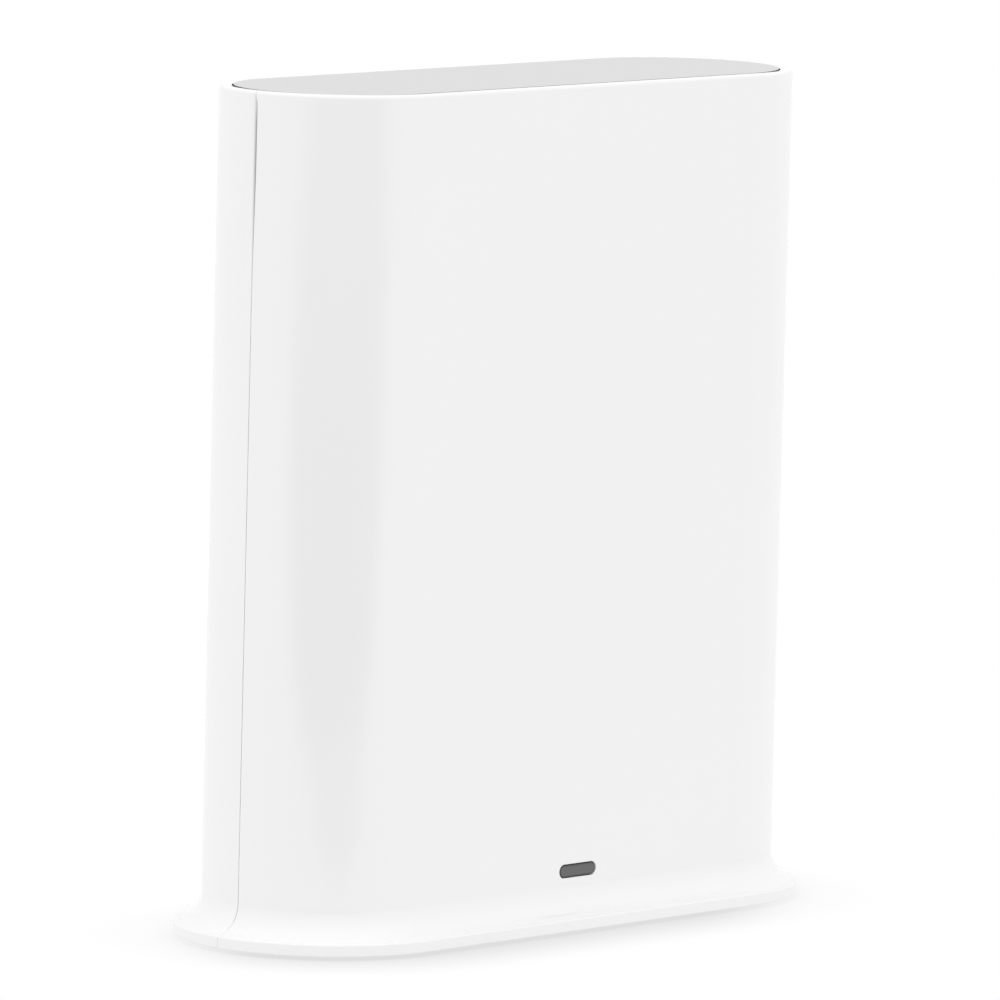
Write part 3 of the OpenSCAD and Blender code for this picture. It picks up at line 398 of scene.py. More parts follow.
def new_group(name, *numbers):
    """A shader node group that reads a vector and some numbers, and gives a height and a patch."""
    tree = bpy.data.node_groups.new(name, "ShaderNodeTree")
    tree.interface.new_socket("Vector", in_out="INPUT", socket_type="NodeSocketVector")
    for way, labels in (("INPUT", numbers), ("OUTPUT", ("Height", "Patch"))):
        for label in labels:
            tree.interface.new_socket(label, in_out=way, socket_type="NodeSocketFloat")
    return tree, tree.nodes.new("NodeGroupInput").outputs, tree.nodes.new("NodeGroupOutput").inputs


def moulded_skin():
    """Moulded plastic: a slow drift over the surface, and a height that adds the tool's fine grain to it."""
    tree, given, out = new_group("moulded_skin", "Grain", "Drift")
    fine = noise(tree, given["Vector"], given["Grain"], 3.0, 0.6)
    slow = noise(tree, given["Vector"], given["Drift"], 3.0, 0.55)
    drift_share = 0.6
    tree.links.new(maths(tree, "MULTIPLY_ADD", slow, drift_share, fine), out["Height"])
    tree.links.new(slow, out["Patch"])
    return tree


def drawn_metal():
    """Rolled or drawn metal: noise stretched along one axis by the vector it is given, with a few spots."""
    tree, given, out = new_group("drawn_metal", "Lines")
    spot_scale, spot_share, line_share = 160.0, 0.6, 0.4
    lines = noise(tree, given["Vector"], given["Lines"], 2.0, 0.5)
    spots = noise(tree, given["Vector"], spot_scale, 4.0, 0.65)
    patch = maths(tree, "MULTIPLY_ADD", spots, spot_share, maths(tree, "MULTIPLY", lines, line_share))
    tree.links.new(lines, out["Height"])
    tree.links.new(patch, out["Patch"])
    return tree


SKIN, METAL_LINES = moulded_skin(), drawn_metal()


def start_material(name):
    """A material with its tree, the inputs of its Principled shader, and object coordinates."""
    mat = bpy.data.materials.new(name)
    mat.use_nodes = True
    tree = mat.node_tree
    return mat, tree, tree.nodes["Principled BSDF"].inputs, node(tree, "TexCoord", out="Object")


def skinned(tree, where, grain, drift):
    """Places the shared plastic skin in a material."""
    return node(tree, "Group", {"Vector": where, "Grain": grain, "Drift": drift}, None, node_tree=SKIN)


def blend(tree, value, one, two, shader):
    """Mixes two colours by a value into the shader's colour."""
    given = {0: value, 6: (*one, 1.0), 7: (*two, 1.0)}
    tree.links.new(node(tree, "Mix", given, 2, data_type="RGBA"), shader["Base Color"])


def roughen(tree, patch, rough, shader):
    """Carries a noise to a range of roughness."""
    tree.links.new(remap(tree, patch, *NOISE_RANGE, *rough), shader["Roughness"])


def bumped(tree, height, strength, depth, shader):
    """A bump from a height, with its depth in metres."""
    given = {"Height": height, "Strength": strength, "Distance": depth}
    tree.links.new(node(tree, "Bump", given), shader["Normal"])


def plastic(name, tones, rough, grain, bump, depth, drift=18.0, ior=1.5):
    """Moulded plastic in two close tones, with roughness from low to high over the surface."""
    mat, tree, shader, where = start_material(name)
    skin = skinned(tree, where, grain, drift)
    blend(tree, skin["Patch"], *tones, shader)
    roughen(tree, skin["Patch"], rough, shader)
    bumped(tree, skin["Height"], bump, depth, shader)
    shader["IOR"].default_value = ior
    return mat


def clear_plastic(name, tones, through):
    """Clear moulded plastic, with a slight drift of its tint."""
    mat, tree, shader, where = start_material(name)
    patch = skinned(tree, where, 1200.0, 200.0)["Patch"]
    blend(tree, patch, *tones, shader)
    roughen(tree, patch, (0.12, 0.2), shader)
    shader["Transmission Weight"].default_value = through
    return mat


def metal(name, tones, rough, lines, stretch):
    """Metal with drawn lines along its stretch, in two close tones."""
    mat, tree, shader, where = start_material(name)
    stretched = node(tree, "Mapping", {"Vector": where, "Scale": stretch})
    skin = node(tree, "Group", {"Vector": stretched, "Lines": lines}, None, node_tree=METAL_LINES)
    blend(tree, skin["Patch"], *tones, shader)
    roughen(tree, skin["Patch"], rough, shader)
    bumped(tree, skin["Height"], METAL_BUMP, FAINT, shader)
    shader["Metallic"].default_value = 1.0
    return mat


def tint(mat, mask, tone):
    """Mixes a material's colour with a grey by a mask."""
    tree = mat.node_tree
    base = tree.nodes["Principled BSDF"].inputs["Base Color"]
    given = {0: mask, 6: base.links[0].from_socket, 7: (tone, tone, tone, 1.0)}
    tree.links.new(node(tree, "Mix", given, 2, data_type="RGBA"), base)


def greys(*levels, warm=0.0):
    """Greys of linear values, a little warm."""
    return [(v * (1 + warm), v, v * (1 - warm)) for v in levels]


def smoked_lens():
    """Tinted lens: lighter over the light pipe and dark along its edge, by the distance from the pill's
    middle line, which is the length of (how far x passes the straight part, height above the middle)."""
    mat, tree, shader, where = start_material("smoked_lens")
    x, _, z = node(tree, "SeparateXYZ", {0: where}, None)
    straight = (LAMP_W - LAMP_H) / 2 * MM
    past = maths(tree, "MAXIMUM", maths(tree, "SUBTRACT", maths(tree, "ABSOLUTE", x), straight), 0.0)
    above = maths(tree, "SUBTRACT", z, LAMP_Z * MM)
    squares = maths(tree, "ADD", maths(tree, "MULTIPLY", past, past), maths(tree, "MULTIPLY", above, above))
    rim = remap(tree, maths(tree, "SQRT", squares), *LENS_EDGE, eased=True)
    blend(tree, rim, *greys(LENS_FACE, LENS_RIM), shader)
    skin = skinned(tree, where, 1500.0, 300.0)
    roughen(tree, skin["Patch"], (0.2, 0.26), shader)
    bumped(tree, skin["Height"], 0.03, FAINT, shader)
    return mat


def circuit_board():
    """Solder mask: green with a pattern of square tracks, slightly raised."""
    mat, tree, shader, where = start_material("solder_mask_green")
    upright = node(tree, "Mapping", {"Vector": where, "Rotation": (math.radians(90), 0, 0)})
    given = {"Vector": upright, "Scale": TRACK_SCALE, "Mortar Size": TRACK_GAP}
    tracks = node(tree, "TexBrick", given, "Fac")
    blend(tree, tracks, *BOARD_TONES, shader)
    roughen(tree, skinned(tree, where, 2500.0, 60.0)["Patch"], (0.28, 0.4), shader)
    bumped(tree, tracks, 0.2, SHALLOW, shader)
    return mat


def gloss_shell():
    """Gloss white shell plastic, with painted shade: grey deep in the joint between the two halves, where
    shadow falls.
    """
    mat = plastic("gloss_white_shell", greys(0.888, 0.9), (0.1, 0.13), 700.0, 0.012, 0.0001, 14.0, 1.6)
    # Painted shade: the colour turns grey by the joint's attribute, deep in the joint
    tint(mat, node(mat.node_tree, "Attribute", out="Fac", attribute_name="joint_painted_shade"), JOINT_SHADE)
    return mat


def cover_with_painted_side_shade():
    """Satin grey on the cover's face, and painted shade on its sides, below the face's edge, dark where the
    gap under the rim lies in shadow.
    """
    mat = plastic("satin_grey_cover", greys(0.58, 0.62), (0.36, 0.42), 4200.0, 0.10, SHALLOW, 25.0)
    tree = mat.node_tree
    z = node(tree, "SeparateXYZ", {0: node(tree, "TexCoord", out="Object")}, 2)
    # Painted shade: the cover's sides turn dark below its face
    tint(mat, remap(tree, z, *((COVER_TOP - down) * MM for down in SIDE_EDGE)), COVER_PAINTED_SHADE)
    return mat


# Plastics: tones, range of roughness, grain per metre, strength and depth of the bump, drift per metre
GLOSS_WHITE, COVER_SATIN = gloss_shell(), cover_with_painted_side_shade()
BASE_WHITE = plastic("textured_white_base", greys(0.80, 0.83, warm=0.004), (0.5, 0.62), 2600.0, 0.3, MEDIUM)
TRAY_GREY = plastic("textured_grey_tray", greys(0.56, 0.6), (0.46, 0.56), 2400.0, 0.3, MEDIUM, 40.0)
FOOT_RUBBER = plastic("foot_rubber", greys(0.03, 0.04), (0.75, 0.9), 1800.0, 0.35, DEEP, 60.0)
INNER_BLACK = plastic("satin_black_plastic", greys(0.012, 0.02), (0.35, 0.45), 2000.0, 0.2, SHALLOW, 60.0)
SOCKET_BLACK = plastic("socket_black_plastic", greys(0.014, 0.024), (0.38, 0.5), 2200.0, 0.25, SHALLOW, 90.0)
TONGUE_WHITE = plastic("socket_white_plastic", greys(0.72, 0.78, warm=0.02), (0.4, 0.5),
                       2000.0, 0.15, SHALLOW, 90.0)
BUTTON_WHITE = plastic("satin_white_button", greys(0.76, 0.8), (0.3, 0.4), 2600.0, 0.15, SHALLOW, 70.0)
CHIP_BLACK = plastic("chip_resin", greys(0.016, 0.028), (0.5, 0.65), 3000.0, 0.3, SHALLOW, 120.0)
PAD_BLUE = plastic("thermal_pad_blue", [(0.17, 0.23, 0.34), (0.2, 0.27, 0.38)], (0.7, 0.85),
                   1200.0, 0.4, DEEP, 90.0)
SLEEVE_BLUE = plastic("capacitor_sleeve", [(0.03, 0.035, 0.07), (0.04, 0.05, 0.09)], (0.25, 0.35),
                      900.0, 0.1, SHALLOW, 80.0)
# Metals: tones, range of roughness, lines per metre, and stretch along each axis
PLATED_STEEL = metal("plated_screw_steel", greys(0.5, 0.6, warm=0.01), (0.28, 0.4), 1400.0, (1, 1, 0.2))
TINNED_SHEET = metal("tinned_sheet", greys(0.66, 0.74, warm=0.01), (0.24, 0.34), 1100.0, (1, 0.08, 1))
CONTACT_GOLD = metal("contact_gold", [(0.78, 0.5, 0.16), (0.86, 0.58, 0.22)], (0.2, 0.3),
                     1600.0, (1, 0.1, 1))
SINK_ALUMINIUM = metal("anodised_aluminium", greys(0.6, 0.68), (0.35, 0.45), 900.0, (1, 1, 0.05))
BOARD_GREEN, LENS = circuit_board(), smoked_lens()
# Clear plastics: tones, and the share of light that goes through
CLEAR_PIPE = clear_plastic("clear_light_pipe", greys(0.86, 0.92), 0.85)
LED_RESIN = clear_plastic("led_resin", [(0.88, 0.84, 0.6), (0.92, 0.88, 0.66)], 0.3)
LINK_RESIN = clear_plastic("link_lamp_resin", [(0.3, 0.5, 0.12), (0.36, 0.58, 0.16)], 0.35)


# Pieces


def lathe(part, at, rows):
    """A turned form: the rows' first numbers are radii about a centre, so a radius of 0 closes it."""
    part.carry(disc(1.0, at, ROUND_STEPS), rows - (1.0, 0, 0, 0))


def wall_profile():
    """The wall's closed profile, as rows of radius, height and normal, with more rows up its outer face,
    closer together towards the top; and the row at which these start."""
    under = COVER_Z - LEDGE_T
    wall = rounded_line(
        [(PLATE_OPEN, SKIRT_FOOT), (SKIRT, SKIRT_FOOT), (SKIRT, SKIRT_EDGE), (END, SLOPE_TOP),
         (END, TOP + RIM_LIFT), (RIM, TOP - RIM_DIP), (RIM, COVER_Z), (LEDGE, COVER_Z), (LEDGE, under),
         (INSIDE, under), (INSIDE, SEAT), (PLATE_OPEN, SEAT)],
        WALL_ROUNDS, True, WALL_ARC_STEP)
    outer = np.argmax(np.where(wall[:, 0] > END - NEAR, np.roll(wall[:, 1], -1) - wall[:, 1], 0))
    share = 1 - np.linspace(1, 0, WALL_ROWS + 2)[1:-1, None] ** 2
    more = wall[outer] + (wall[outer + 1] - wall[outer]) * share
    return np.insert(wall, outer + 1, more, axis=0), outer


def shell_half(part, ahead, drift, more_roll, shade, holes):
    """Half of the housing: the wall's profile carried along half of the plan, with an angle round each end as
    one parameter and the place along the profile as the other. Next to the seam the wall bends in along a
    quarter circle and ends at a gap from the middle plane, which closes on the skirt. Circle and gap grow
    with the slack, by more_roll and drift: it is full just below the rim and falls off smoothly further
    down. Shade is the share of painted shade, a grey that stands in for shadow deep in the joint."""
    wall, outer = wall_profile()
    r, z, nr, nz = wall.T
    down = TOP - z
    slack = grow(down, *SLACK) * (1 - smooth(grow(down, *SLACK_END)))
    gap = SEAM * grow(z, SKIRT_EDGE, *CLOSING) + ahead + drift * slack
    # deep is the share of painted shade in the joint, standing in for its shadow near the top
    deep = shade * slack * grow(down, *SHADE)
    bend = np.where((r > END - NEAR) & (nr > 0), SEAM_ROLL + more_roll * slack, INNER_ROLL)
    lean = np.radians(np.append(np.linspace(90, 0, ROLL_STEPS), np.zeros(END_STEPS)))[:, None]
    sink, away = bend * (1 - np.cos(lean)), bend * (1 - np.sin(lean))
    rr, zz = r - sink * nr, z - sink * nz
    near = np.arcsin((gap + away[:ROLL_STEPS]) / rr[:ROLL_STEPS])
    share = np.linspace(0, 1, END_STEPS + 1)[1:, None]
    a = np.concatenate([near, near[-1] + (np.pi / 2 - near[-1]) * share])
    points = np.stack([RUN + rr * np.cos(a), rr * np.sin(a), zz], -1)
    out = lifted(np.stack([nr * np.cos(a), nr * np.sin(a)], -1), nz)
    normals = out * np.cos(lean)[..., None] + np.array([0, -1.0, 0]) * np.sin(lean)[..., None]
    # Painted shade on the rolled edge, growing as the edge leans further into the joint
    sunk_painted_shade = grow(np.degrees(lean), *DARK) * deep
    flip = np.array([-1.0, 1, 1])
    inner = np.argmax(np.where(r < INSIDE + NEAR, z - np.roll(z, -1), 0))
    outer_rows = np.arange(outer, outer + WALL_ROWS + 2)
    part.grid(points, normals, (False, True), (), sunk_painted_shade)
    part.grid(points * flip, normals * flip, (False, True), (), sunk_painted_shade)
    part.grid(np.stack([points[-1], points[-1] * flip]), np.stack([normals[-1], normals[-1] * flip]),
              (False, True), np.append(outer_rows[:-1], inner))
    cap, tris = fill(points[0][:, [0, 2]])
    for s in (1.0, -1.0):
        at = np.stack([s * cap[:, 0], points[0][:, 1], cap[:, 1]], -1)
        part.patch(at, np.broadcast_to(np.array([0, -1.0, 0]), at.shape), tris, deep)
    for y, up, row, up_z in ((END, 1.0, -1, z[outer_rows]), (INSIDE, -1.0, 0, z[[inner + 1, inner]])):
        side = np.stack([np.full(len(up_z), RUN), up_z], -1)
        loops = [np.concatenate([side, side[::-1] * (-1.0, 1.0)])]
        loops += [h[0] - h[1] * rows[row, 0] for h, rows in holes]
        part.face(loops, y, up)
    for hole in holes:
        part.carry(*hole, side=-1)
    for s in (-1, 1):
        at = (s * RUN, BOSS_Y)
        pilot = (disc(PILOT_R, at, HOLE_STEPS), pocket_down(SEAT, SEAT + PILOT_DEPTH))
        part.slab(disc(BOSS_R, at), edge(SEAT, SEAT + BOSS_H, CRISP, SOFT), axes=UPRIGHT, low_pockets=[pilot])


def end_bars(part, near, far, low, high, swing):
    """Two curved bars with flat ends: a rounded rectangle of radii and heights, swept about each end's axis
    by an angle in degrees to either side."""
    corners = [(near, low), (far, low), (far, high), (near, high)]
    r, z, nr, nz = rounded_line(corners, [BAR_ROUND] * 4, True).T
    _, tris = fill(np.stack([r, z], -1))
    a = np.radians(np.linspace(-swing, swing, max(BAR_STEPS, int(swing))))[:, None]
    points = lifted(np.stack([RUN + r * np.cos(a), r * np.sin(a)], -1), z)
    normals = lifted(np.stack([nr * np.cos(a), nr * np.sin(a)], -1), nz)
    for s in (1.0, -1.0):
        flip = np.array([s, 1, 1])
        part.grid(points * flip, normals * flip, (False, True))
        for row, way in ((0, -1.0), (-1, 1.0)):
            ahead = np.array([-way * np.sin(a[row, 0]), way * np.cos(a[row, 0]), 0]) * flip
            part.patch(points[row] * flip, np.broadcast_to(ahead, (len(r), 3)), tris)


def front_housing():
    """The front half, with the lamp's slot and the antennas' stakes, drawn as a rear half and turned."""
    part = Moulding()
    part.turn = np.diag([-1.0, -1.0, 1.0])
    slot = pill(LAMP_W + 2 * FIT, LAMP_H + 2 * FIT, (0, LAMP_Z))
    shell_half(part, SEAM_AHEAD, SEAM_DRIFT, 0.0, 0.0, [(slot, edge(INSIDE, END, CRISP, EASED))])
    for s, side in QUARTERS[::-1]:
        at = (s * ANTENNA_X + side * STAKE_X, ANTENNA_Z)
        part.slab(disc(STAKE_R, at, PIN_STEPS), edge(STAKE_END, IN_WALL, SOFT, 0))
    part.make("front_housing", "hub", "shell_white", GLOSS_WHITE, "front_shell")


def rear_housing():
    """The rear half, with the port bay, the vent slots, the board posts and the lips behind the seam."""
    part = Moulding()
    holes = [(panel(BAY_W, BAY_H, BAY_R, (0, BAY_Z)), edge(INSIDE, END, CRISP, BAY_EASE))]
    vent = edge(INSIDE, END, CRISP, VENT_EASE)
    holes += [(slot, vent) for slot in slot_row(*VENTS)]
    shell_half(part, -SEAM_AHEAD, SEAM_SPREAD - SEAM_DRIFT, REAR_ROLL, 1.0, holes)
    for at in ((x, z) for x in (-HOLE_X, HOLE_X) for z in (HOLE_LOW, HOLE_HIGH)):
        bore = (disc(POST_BORE, at, HOLE_STEPS), pocket_down(BOARD_BACK, POST_DEPTH))
        part.slab(disc(POST_R, at), edge(BOARD_BACK, IN_WALL, FINE, 0), low_pockets=[bore])
        part.slab(panel(*POST_FIN, at), edge(FIN_FROM, IN_WALL, EASED, 0))
    end_bars(part, *LIPS)
    part.make("rear_housing", "hub", "shell_white", GLOSS_WHITE, "rear_shell")


def top_plate():
    """The cover: a stadium plate with an eased edge, over a ring with snap hooks."""
    part = Moulding()
    part.slab(stadium(COVER, RUN - COVER_SHORT), edge(COVER_Z, COVER_TOP, FINE, COVER_EASE), axes=UPRIGHT)
    ring = edge(COVER_Z - RING_H, COVER_Z, SOFT, 0)
    part.slab(stadium(RING), ring, [(stadium(RING - RING_T), ring)], UPRIGHT)
    foot = UNDER_LEDGE - HOOK_H
    nose = [(HOOK_BACK, foot), (RING, foot), (HOOK_NOSE, UNDER_LEDGE), (HOOK_BACK, UNDER_LEDGE)]
    rounds = [CRISP, CRISP, EASED, CRISP]
    for s in (1, -1):
        shape = outline([(s * y, z) for y, z in nose][::s], rounds[::s])
        for x in HOOK_X:
            part.slab(shape, edge(x - HOOK_HALF, x + HOOK_HALF, CRISP, CRISP), axes=ALONG_BODY)
    part.make("top_plate", "hub", "cover_grey", COVER_SATIN, "top_cover")


def foot_plans(extra):
    """The outlines of the four feet: pills set square to the end's radius, wider all round by extra."""
    turn = math.radians(FOOT_TURN)
    out, side = FOOT_R * math.cos(turn), FOOT_R * math.sin(turn)
    size = (FOOT_LEN + 2 * extra, FOOT_W + 2 * extra)
    return [pill(*size, (sx * (RUN + out), sy * side), sx * sy * (90 + FOOT_TURN)) for sx, sy in QUARTERS]


def bottom_plate():
    """The base plate: a stadium plate with vent slots, counterbored screw holes and pockets for the feet, and
    the rib on top that centres the shells, broken at the screw posts."""
    part = Moulding()
    wide, step = HEAD_BORE - SCREW_BORE, PLATE_Z + HEAD_DEPTH
    bore = rounded_line(
        [(-wide - HEAD_EASE, PLATE_Z), (-wide, PLATE_Z), (-wide, step), (0, step), (0, SEAT), (-CRISP, SEAT)],
        [0, HEAD_EASE, 0, FINE, CRISP, 0])
    rim = edge(PLATE_Z, SEAT, SOFT, FINE)
    holes = [(disc(SCREW_BORE, (sx * RUN, sy * BOSS_Y)), bore) for sx, sy in QUARTERS]
    holes += [(slot, rim) for slot in slot_row(*BASE_SLOTS)]
    pockets = [(plan, pocket_down(PLATE_Z, PLATE_Z + FOOT_POCKET, FOOT_LIP)) for plan in foot_plans(FIT)]
    part.slab(stadium(PLATE_OPEN - FIT), rim, holes, UPRIGHT, pockets)
    for s in (-1, 1):
        part.slab(panel(*RIB, (0, s * RIB_Y)), edge(*RIB_ENDS[2:4], 0, EASED), axes=UPRIGHT)
    end_bars(part, *RIB_ENDS)
    part.make("bottom_plate", "hub", "base_white", BASE_WHITE, "base_plate")


def foot_pads():
    """Four rubber pads with a round lower edge, glued into the base plate's pockets."""
    part = Moulding()
    for plan in foot_plans(0.0):
        part.slab(plan, edge(0, PLATE_Z + FOOT_POCKET, FOOT_EASE, 0), axes=UPRIGHT)
    part.make("foot_pads", "hub", "foot_rubber", FOOT_RUBBER, "rubber_feet")


def lamp_window():
    """The status lamp's lens: a pill with an eased face, on a wider flange behind the wall."""
    part, at = Moulding(), (0, LAMP_Z)
    part.slab(pill(LAMP_W, LAMP_H, at), edge(LAMP_FACE, -INSIDE, LAMP_EASE, 0))
    flange = pill(LAMP_W + LAMP_FLANGE, LAMP_H + LAMP_FLANGE, at)
    part.slab(flange, edge(-INSIDE, LAMP_BACK, CRISP, FINE))
    part.make("lamp_window", "hub", "lens_smoke", LENS, "lamp_lens")


def port_panel():
    """The port bay's tray: one profile, from the back over flange and rim to the floor, carried round a
    rounded rectangle, with windows in the floor and guide tubes behind it."""
    part = Moulding()
    shape = panel(BAY_W - 2 * FIT, BAY_H - 2 * FIT, BAY_R - FIT, (0, BAY_Z))
    cut = edge(TRAY_BACK, BAY_FLOOR, CRISP, TRAY_EASE)
    windows = [panel(*NET_WINDOW, NET), panel(*USB_WINDOW, USB), disc(POWER_WINDOW, POWER),
               disc(SYNC_WINDOW, SYNC), disc(RESET_WINDOW, RESET, HOLE_STEPS)]
    part.slab(shape, rounded_line(TRAY_CORNERS, TRAY_ROUNDS), [(w, cut) for w in windows])
    for at, wide, bore, back in GUIDE_TUBES:
        tube = edge(back, TRAY_BACK, FINE, 0)
        part.slab(disc(wide, at), tube, [(disc(bore, at), tube)])
    part.make("port_panel", "hub", "tray_grey", TRAY_GREY, "port_tray")


def sheet_sleeve(name, replaced, at, outside, inside, ease):
    """A socket's sleeve of tinned sheet, with rounded corners and eased front edges."""
    part = Moulding()
    skin = edge(BOARD_BACK, FACE, CRISP, ease)
    part.slab(panel(*outside, at), skin, [(panel(*inside, at), skin)])
    part.make(name, "hub", "sheet_steel", TINNED_SHEET, replaced)


def network_socket():
    """The network socket: a tinned sleeve, a black insert with the plug's T-shaped space and two pockets, and
    the two link lamps in these."""
    sheet_sleeve("network_sleeve", "network_shield", NET, NET_SLEEVE, NET_INSIDE, NET_EASE)
    core, face, top = Moulding(), FACE - CORE_SET, NET[1] + PLUG_TOP
    foot, shoulder = top - PLUG_FOOT, top - PLUG_SHOULDER
    x, w, n = NET[0], PLUG_HALF, LATCH_HALF
    space = outline(
        [(x - n, foot), (x + n, foot), (x + n, shoulder), (x + w, shoulder), (x + w, top), (x - w, top),
         (x - w, shoulder), (x - n, shoulder)],
        [EASED, EASED, FINE, EASED, EASED, EASED, EASED, FINE])
    spots = [(x + s * LINK_X, top - LINK_DROP) for s in (-1, 1)]
    pockets = [(space, pocket_up(FACE - PLUG_DEPTH, face, FINE))]
    pockets += [(panel(*LINK_POCKET, spot), pocket_up(LINK_BACK, face, FINE)) for spot in spots]
    core.slab(panel(*NET_CORE, NET), edge(BOARD_BACK, face, CRISP, FINE), high_pockets=pockets)
    core.make("network_core", "hub", "socket_plastic", SOCKET_BLACK, "network_insert")
    lights = Moulding()
    for spot in spots:
        lights.slab(panel(*LINK_LAMP, spot), edge(LINK_BACK, LINK_FACE, CRISP, EASED))
    lights.make("link_lights", "hub", "link_lamp", LINK_RESIN, "network_lamps")


def usb_socket():
    """The USB socket: a tinned sleeve, and a white block with its tongue."""
    sheet_sleeve("usb_sleeve", "usb_shell", USB, USB_SLEEVE, USB_INSIDE, USB_EASE)
    core = Moulding()
    core.slab(panel(*USB_BLOCK, USB), edge(BOARD_BACK, BLOCK_FACE, CRISP, FINE))
    tongue = panel(*USB_TONGUE, (USB[0], USB[1] + TONGUE_RISE))
    core.slab(tongue, edge(TONGUE_ROOT, TONGUE_TIP, 0, SOFT))
    core.make("usb_core", "hub", "tongue_white", TONGUE_WHITE, "usb_tongue")


def power_socket():
    """The power socket: a round nose with a bore, its square block, and a turned centre pin."""
    part, floor = Moulding(), FACE - NOSE_DEPTH
    nose = disc(NOSE_R, POWER, ROUND_STEPS)
    bore = (disc(NOSE_BORE, POWER, ROUND_STEPS), pocket_up(floor, FACE, NOSE_LIP))
    part.slab(nose, edge(BOARD_BACK, FACE, CRISP, SOFT), high_pockets=[bore])
    part.slab(panel(*POWER_BLOCK, POWER), edge(BOARD_BACK, POWER_BACK, CRISP, EASED),
              [(nose, edge(BOARD_BACK, POWER_BACK, 0, 0))])
    part.make("power_nose", "hub", "socket_plastic", SOCKET_BLACK, "power_body")
    pin = Moulding()
    rows = rounded_line([(0, floor), (PIN_R, floor), (PIN_R, PIN_TIP), (0, PIN_TIP)], [0, 0, PIN_ROUND, 0])
    lathe(pin, POWER, rows)
    pin.make("power_centre_pin", "hub", "sheet_steel", TINNED_SHEET, "power_pin")


def sync_cap():
    """The sync button: stem, flange and cap turned about one axis. The dish in the cap is as deep as the
    square of one less the squared radius, with the radius as a share of the dish's own."""
    part = Moulding()
    r = np.linspace(DISH_R, 0, DISH_ROWS)
    level = 1 - (r / DISH_R) ** 2
    slope = -DISH * 4 * r / DISH_R ** 2 * level
    dish = np.stack([r, CAP_TOP - DISH * level ** 2, slope, np.ones_like(r)], -1)
    lathe(part, SYNC, np.concatenate([rounded_line(CAP_CORNERS, CAP_ROUNDS), dish]))
    part.make("sync_cap", "sync", "button_white", BUTTON_WHITE, "sync_button")


for build in (front_housing, rear_housing, top_plate, bottom_plate, foot_pads, lamp_window, port_panel,
              network_socket, usb_socket, power_socket, sync_cap):
    build()

FINISHES = {
    PLATED_STEEL: ["base_screws", "board_screws"],
    CLEAR_PIPE: ["light_pipe"],
    INNER_BLACK: ["light_shroud", "sync_plunger", "reset_plunger"],
    LED_RESIN: ["status_leds"],
    CONTACT_GOLD: ["network_contacts", "usb_contacts", "antenna_plugs"],
    TINNED_SHEET: ["power_spring", "shield_cans"],
    CHIP_BLACK: ["sync_switch", "reset_switch", "processor", "memory_chips", "network_transformer",
                 "inductors"],
    BOARD_GREEN: ["main_board", "antenna_left", "antenna_right"],
    PAD_BLUE: ["thermal_pad"],
    SINK_ALUMINIUM: ["heat_sink"],
    SLEEVE_BLUE: ["capacitors"],
    SOCKET_BLACK: ["lead_left", "lead_right"],
}
for finish, names in FINISHES.items():
    for name in names:
        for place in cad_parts[name].material_slots:
            place.material = finish


# Floor, light and camera

# Where the photograph was taken from: turn, height and roll, and the distance and aim in millimetres
TURN, RISE, ROLL = math.radians(47.227), math.radians(6.733), math.radians(1.42)
AWAY, AIM = 2239.54, np.array([0, 0, 83.728])
SENSOR, FOCAL, CLIP_NEAR, CLIP_FAR = 36.0, 402.278, 0.05, 60.0
TOWARDS_CAMERA = np.array([-math.sin(TURN), -math.cos(TURN), 0.0])
BACKWARD = TOWARDS_CAMERA * math.cos(RISE) + np.array([0, 0, math.sin(RISE)])
LEVEL = np.array([math.cos(TURN), -math.sin(TURN), 0.0])
# Light from level directions, what the top adds, and what the camera's side and the far side lose
SKY_LEVEL, SKY_RISE, CAMERA_SIDE, FAR_SIDE = 0.965, 0.6, 0.58, 1.2
# Floor, in metres: half its width, the light it throws back, its darkest painted shadow, and the painted
# shadow's reach
FLOOR_HALF, FLOOR_LEVEL, SHADOW, SHADOW_REACH, SHADOW_RAYS = 14.0, 0.89, 0.735, 0.026, 24
# The painted shadow's range of open sky and its power, and where along the object it fades and by how much
SHADOW_RANGE, SHADOW_POWER, FADE_RANGE, FADE_SHARE = (0.5, 1.0), 1.3, (0.042, 0.068), 0.75
# Dark card, in metres: near and far edge, length of its narrow start, height, and its rows and columns
CARD_NEAR, CARD_FAR, CARD_START, CARD_LIFT, CARD_ROWS, CARD_COLUMNS = 0.14, 2.6, 0.08, 0.0004, 83, 41
# Each side of the card: its start, what it gains, how fast, and from what distance on
CARD_LEFT, CARD_RIGHT = (0.06, 0.85, 1.6, 0.28), (0.11, 1.75, 0.85, 0.26)
# Lighter shade near the object and far away: how light, from what distance, and over how much
NEAR_LIGHT, NEAR_FADE, FAR_LIGHT, FAR_FADE = 0.4, (-0.37, 0.06), 0.35, (0.9, 1.0)
# Shares of the card's half width: where these sides are measured, and where the shade starts to fade
CARD_MEASURE, CARD_FADE = 0.75, 0.5


def seen_directly(tree):
    """1 for what is seen straight, in a reflection or through clear plastic, and 0 for diffuse light."""
    path = node(tree, "LightPath", out=None)
    seen = maths(tree, "MAXIMUM", path["Is Camera Ray"], path["Is Glossy Ray"])
    return maths(tree, "MAXIMUM", seen, path["Is Transmission Ray"])


def stage_mesh(name, points, faces):
    """A mesh with an empty material, the material's tree and the socket of its surface."""
    mesh = bpy.data.meshes.new(name)
    mesh.from_pydata(points, [], faces)
    mat = bpy.data.materials.new(name)
    mat.use_nodes = True
    tree = mat.node_tree
    tree.nodes.clear()
    mesh.materials.append(mat)
    return mesh, tree, tree.nodes.new("ShaderNodeOutputMaterial").inputs["Surface"]


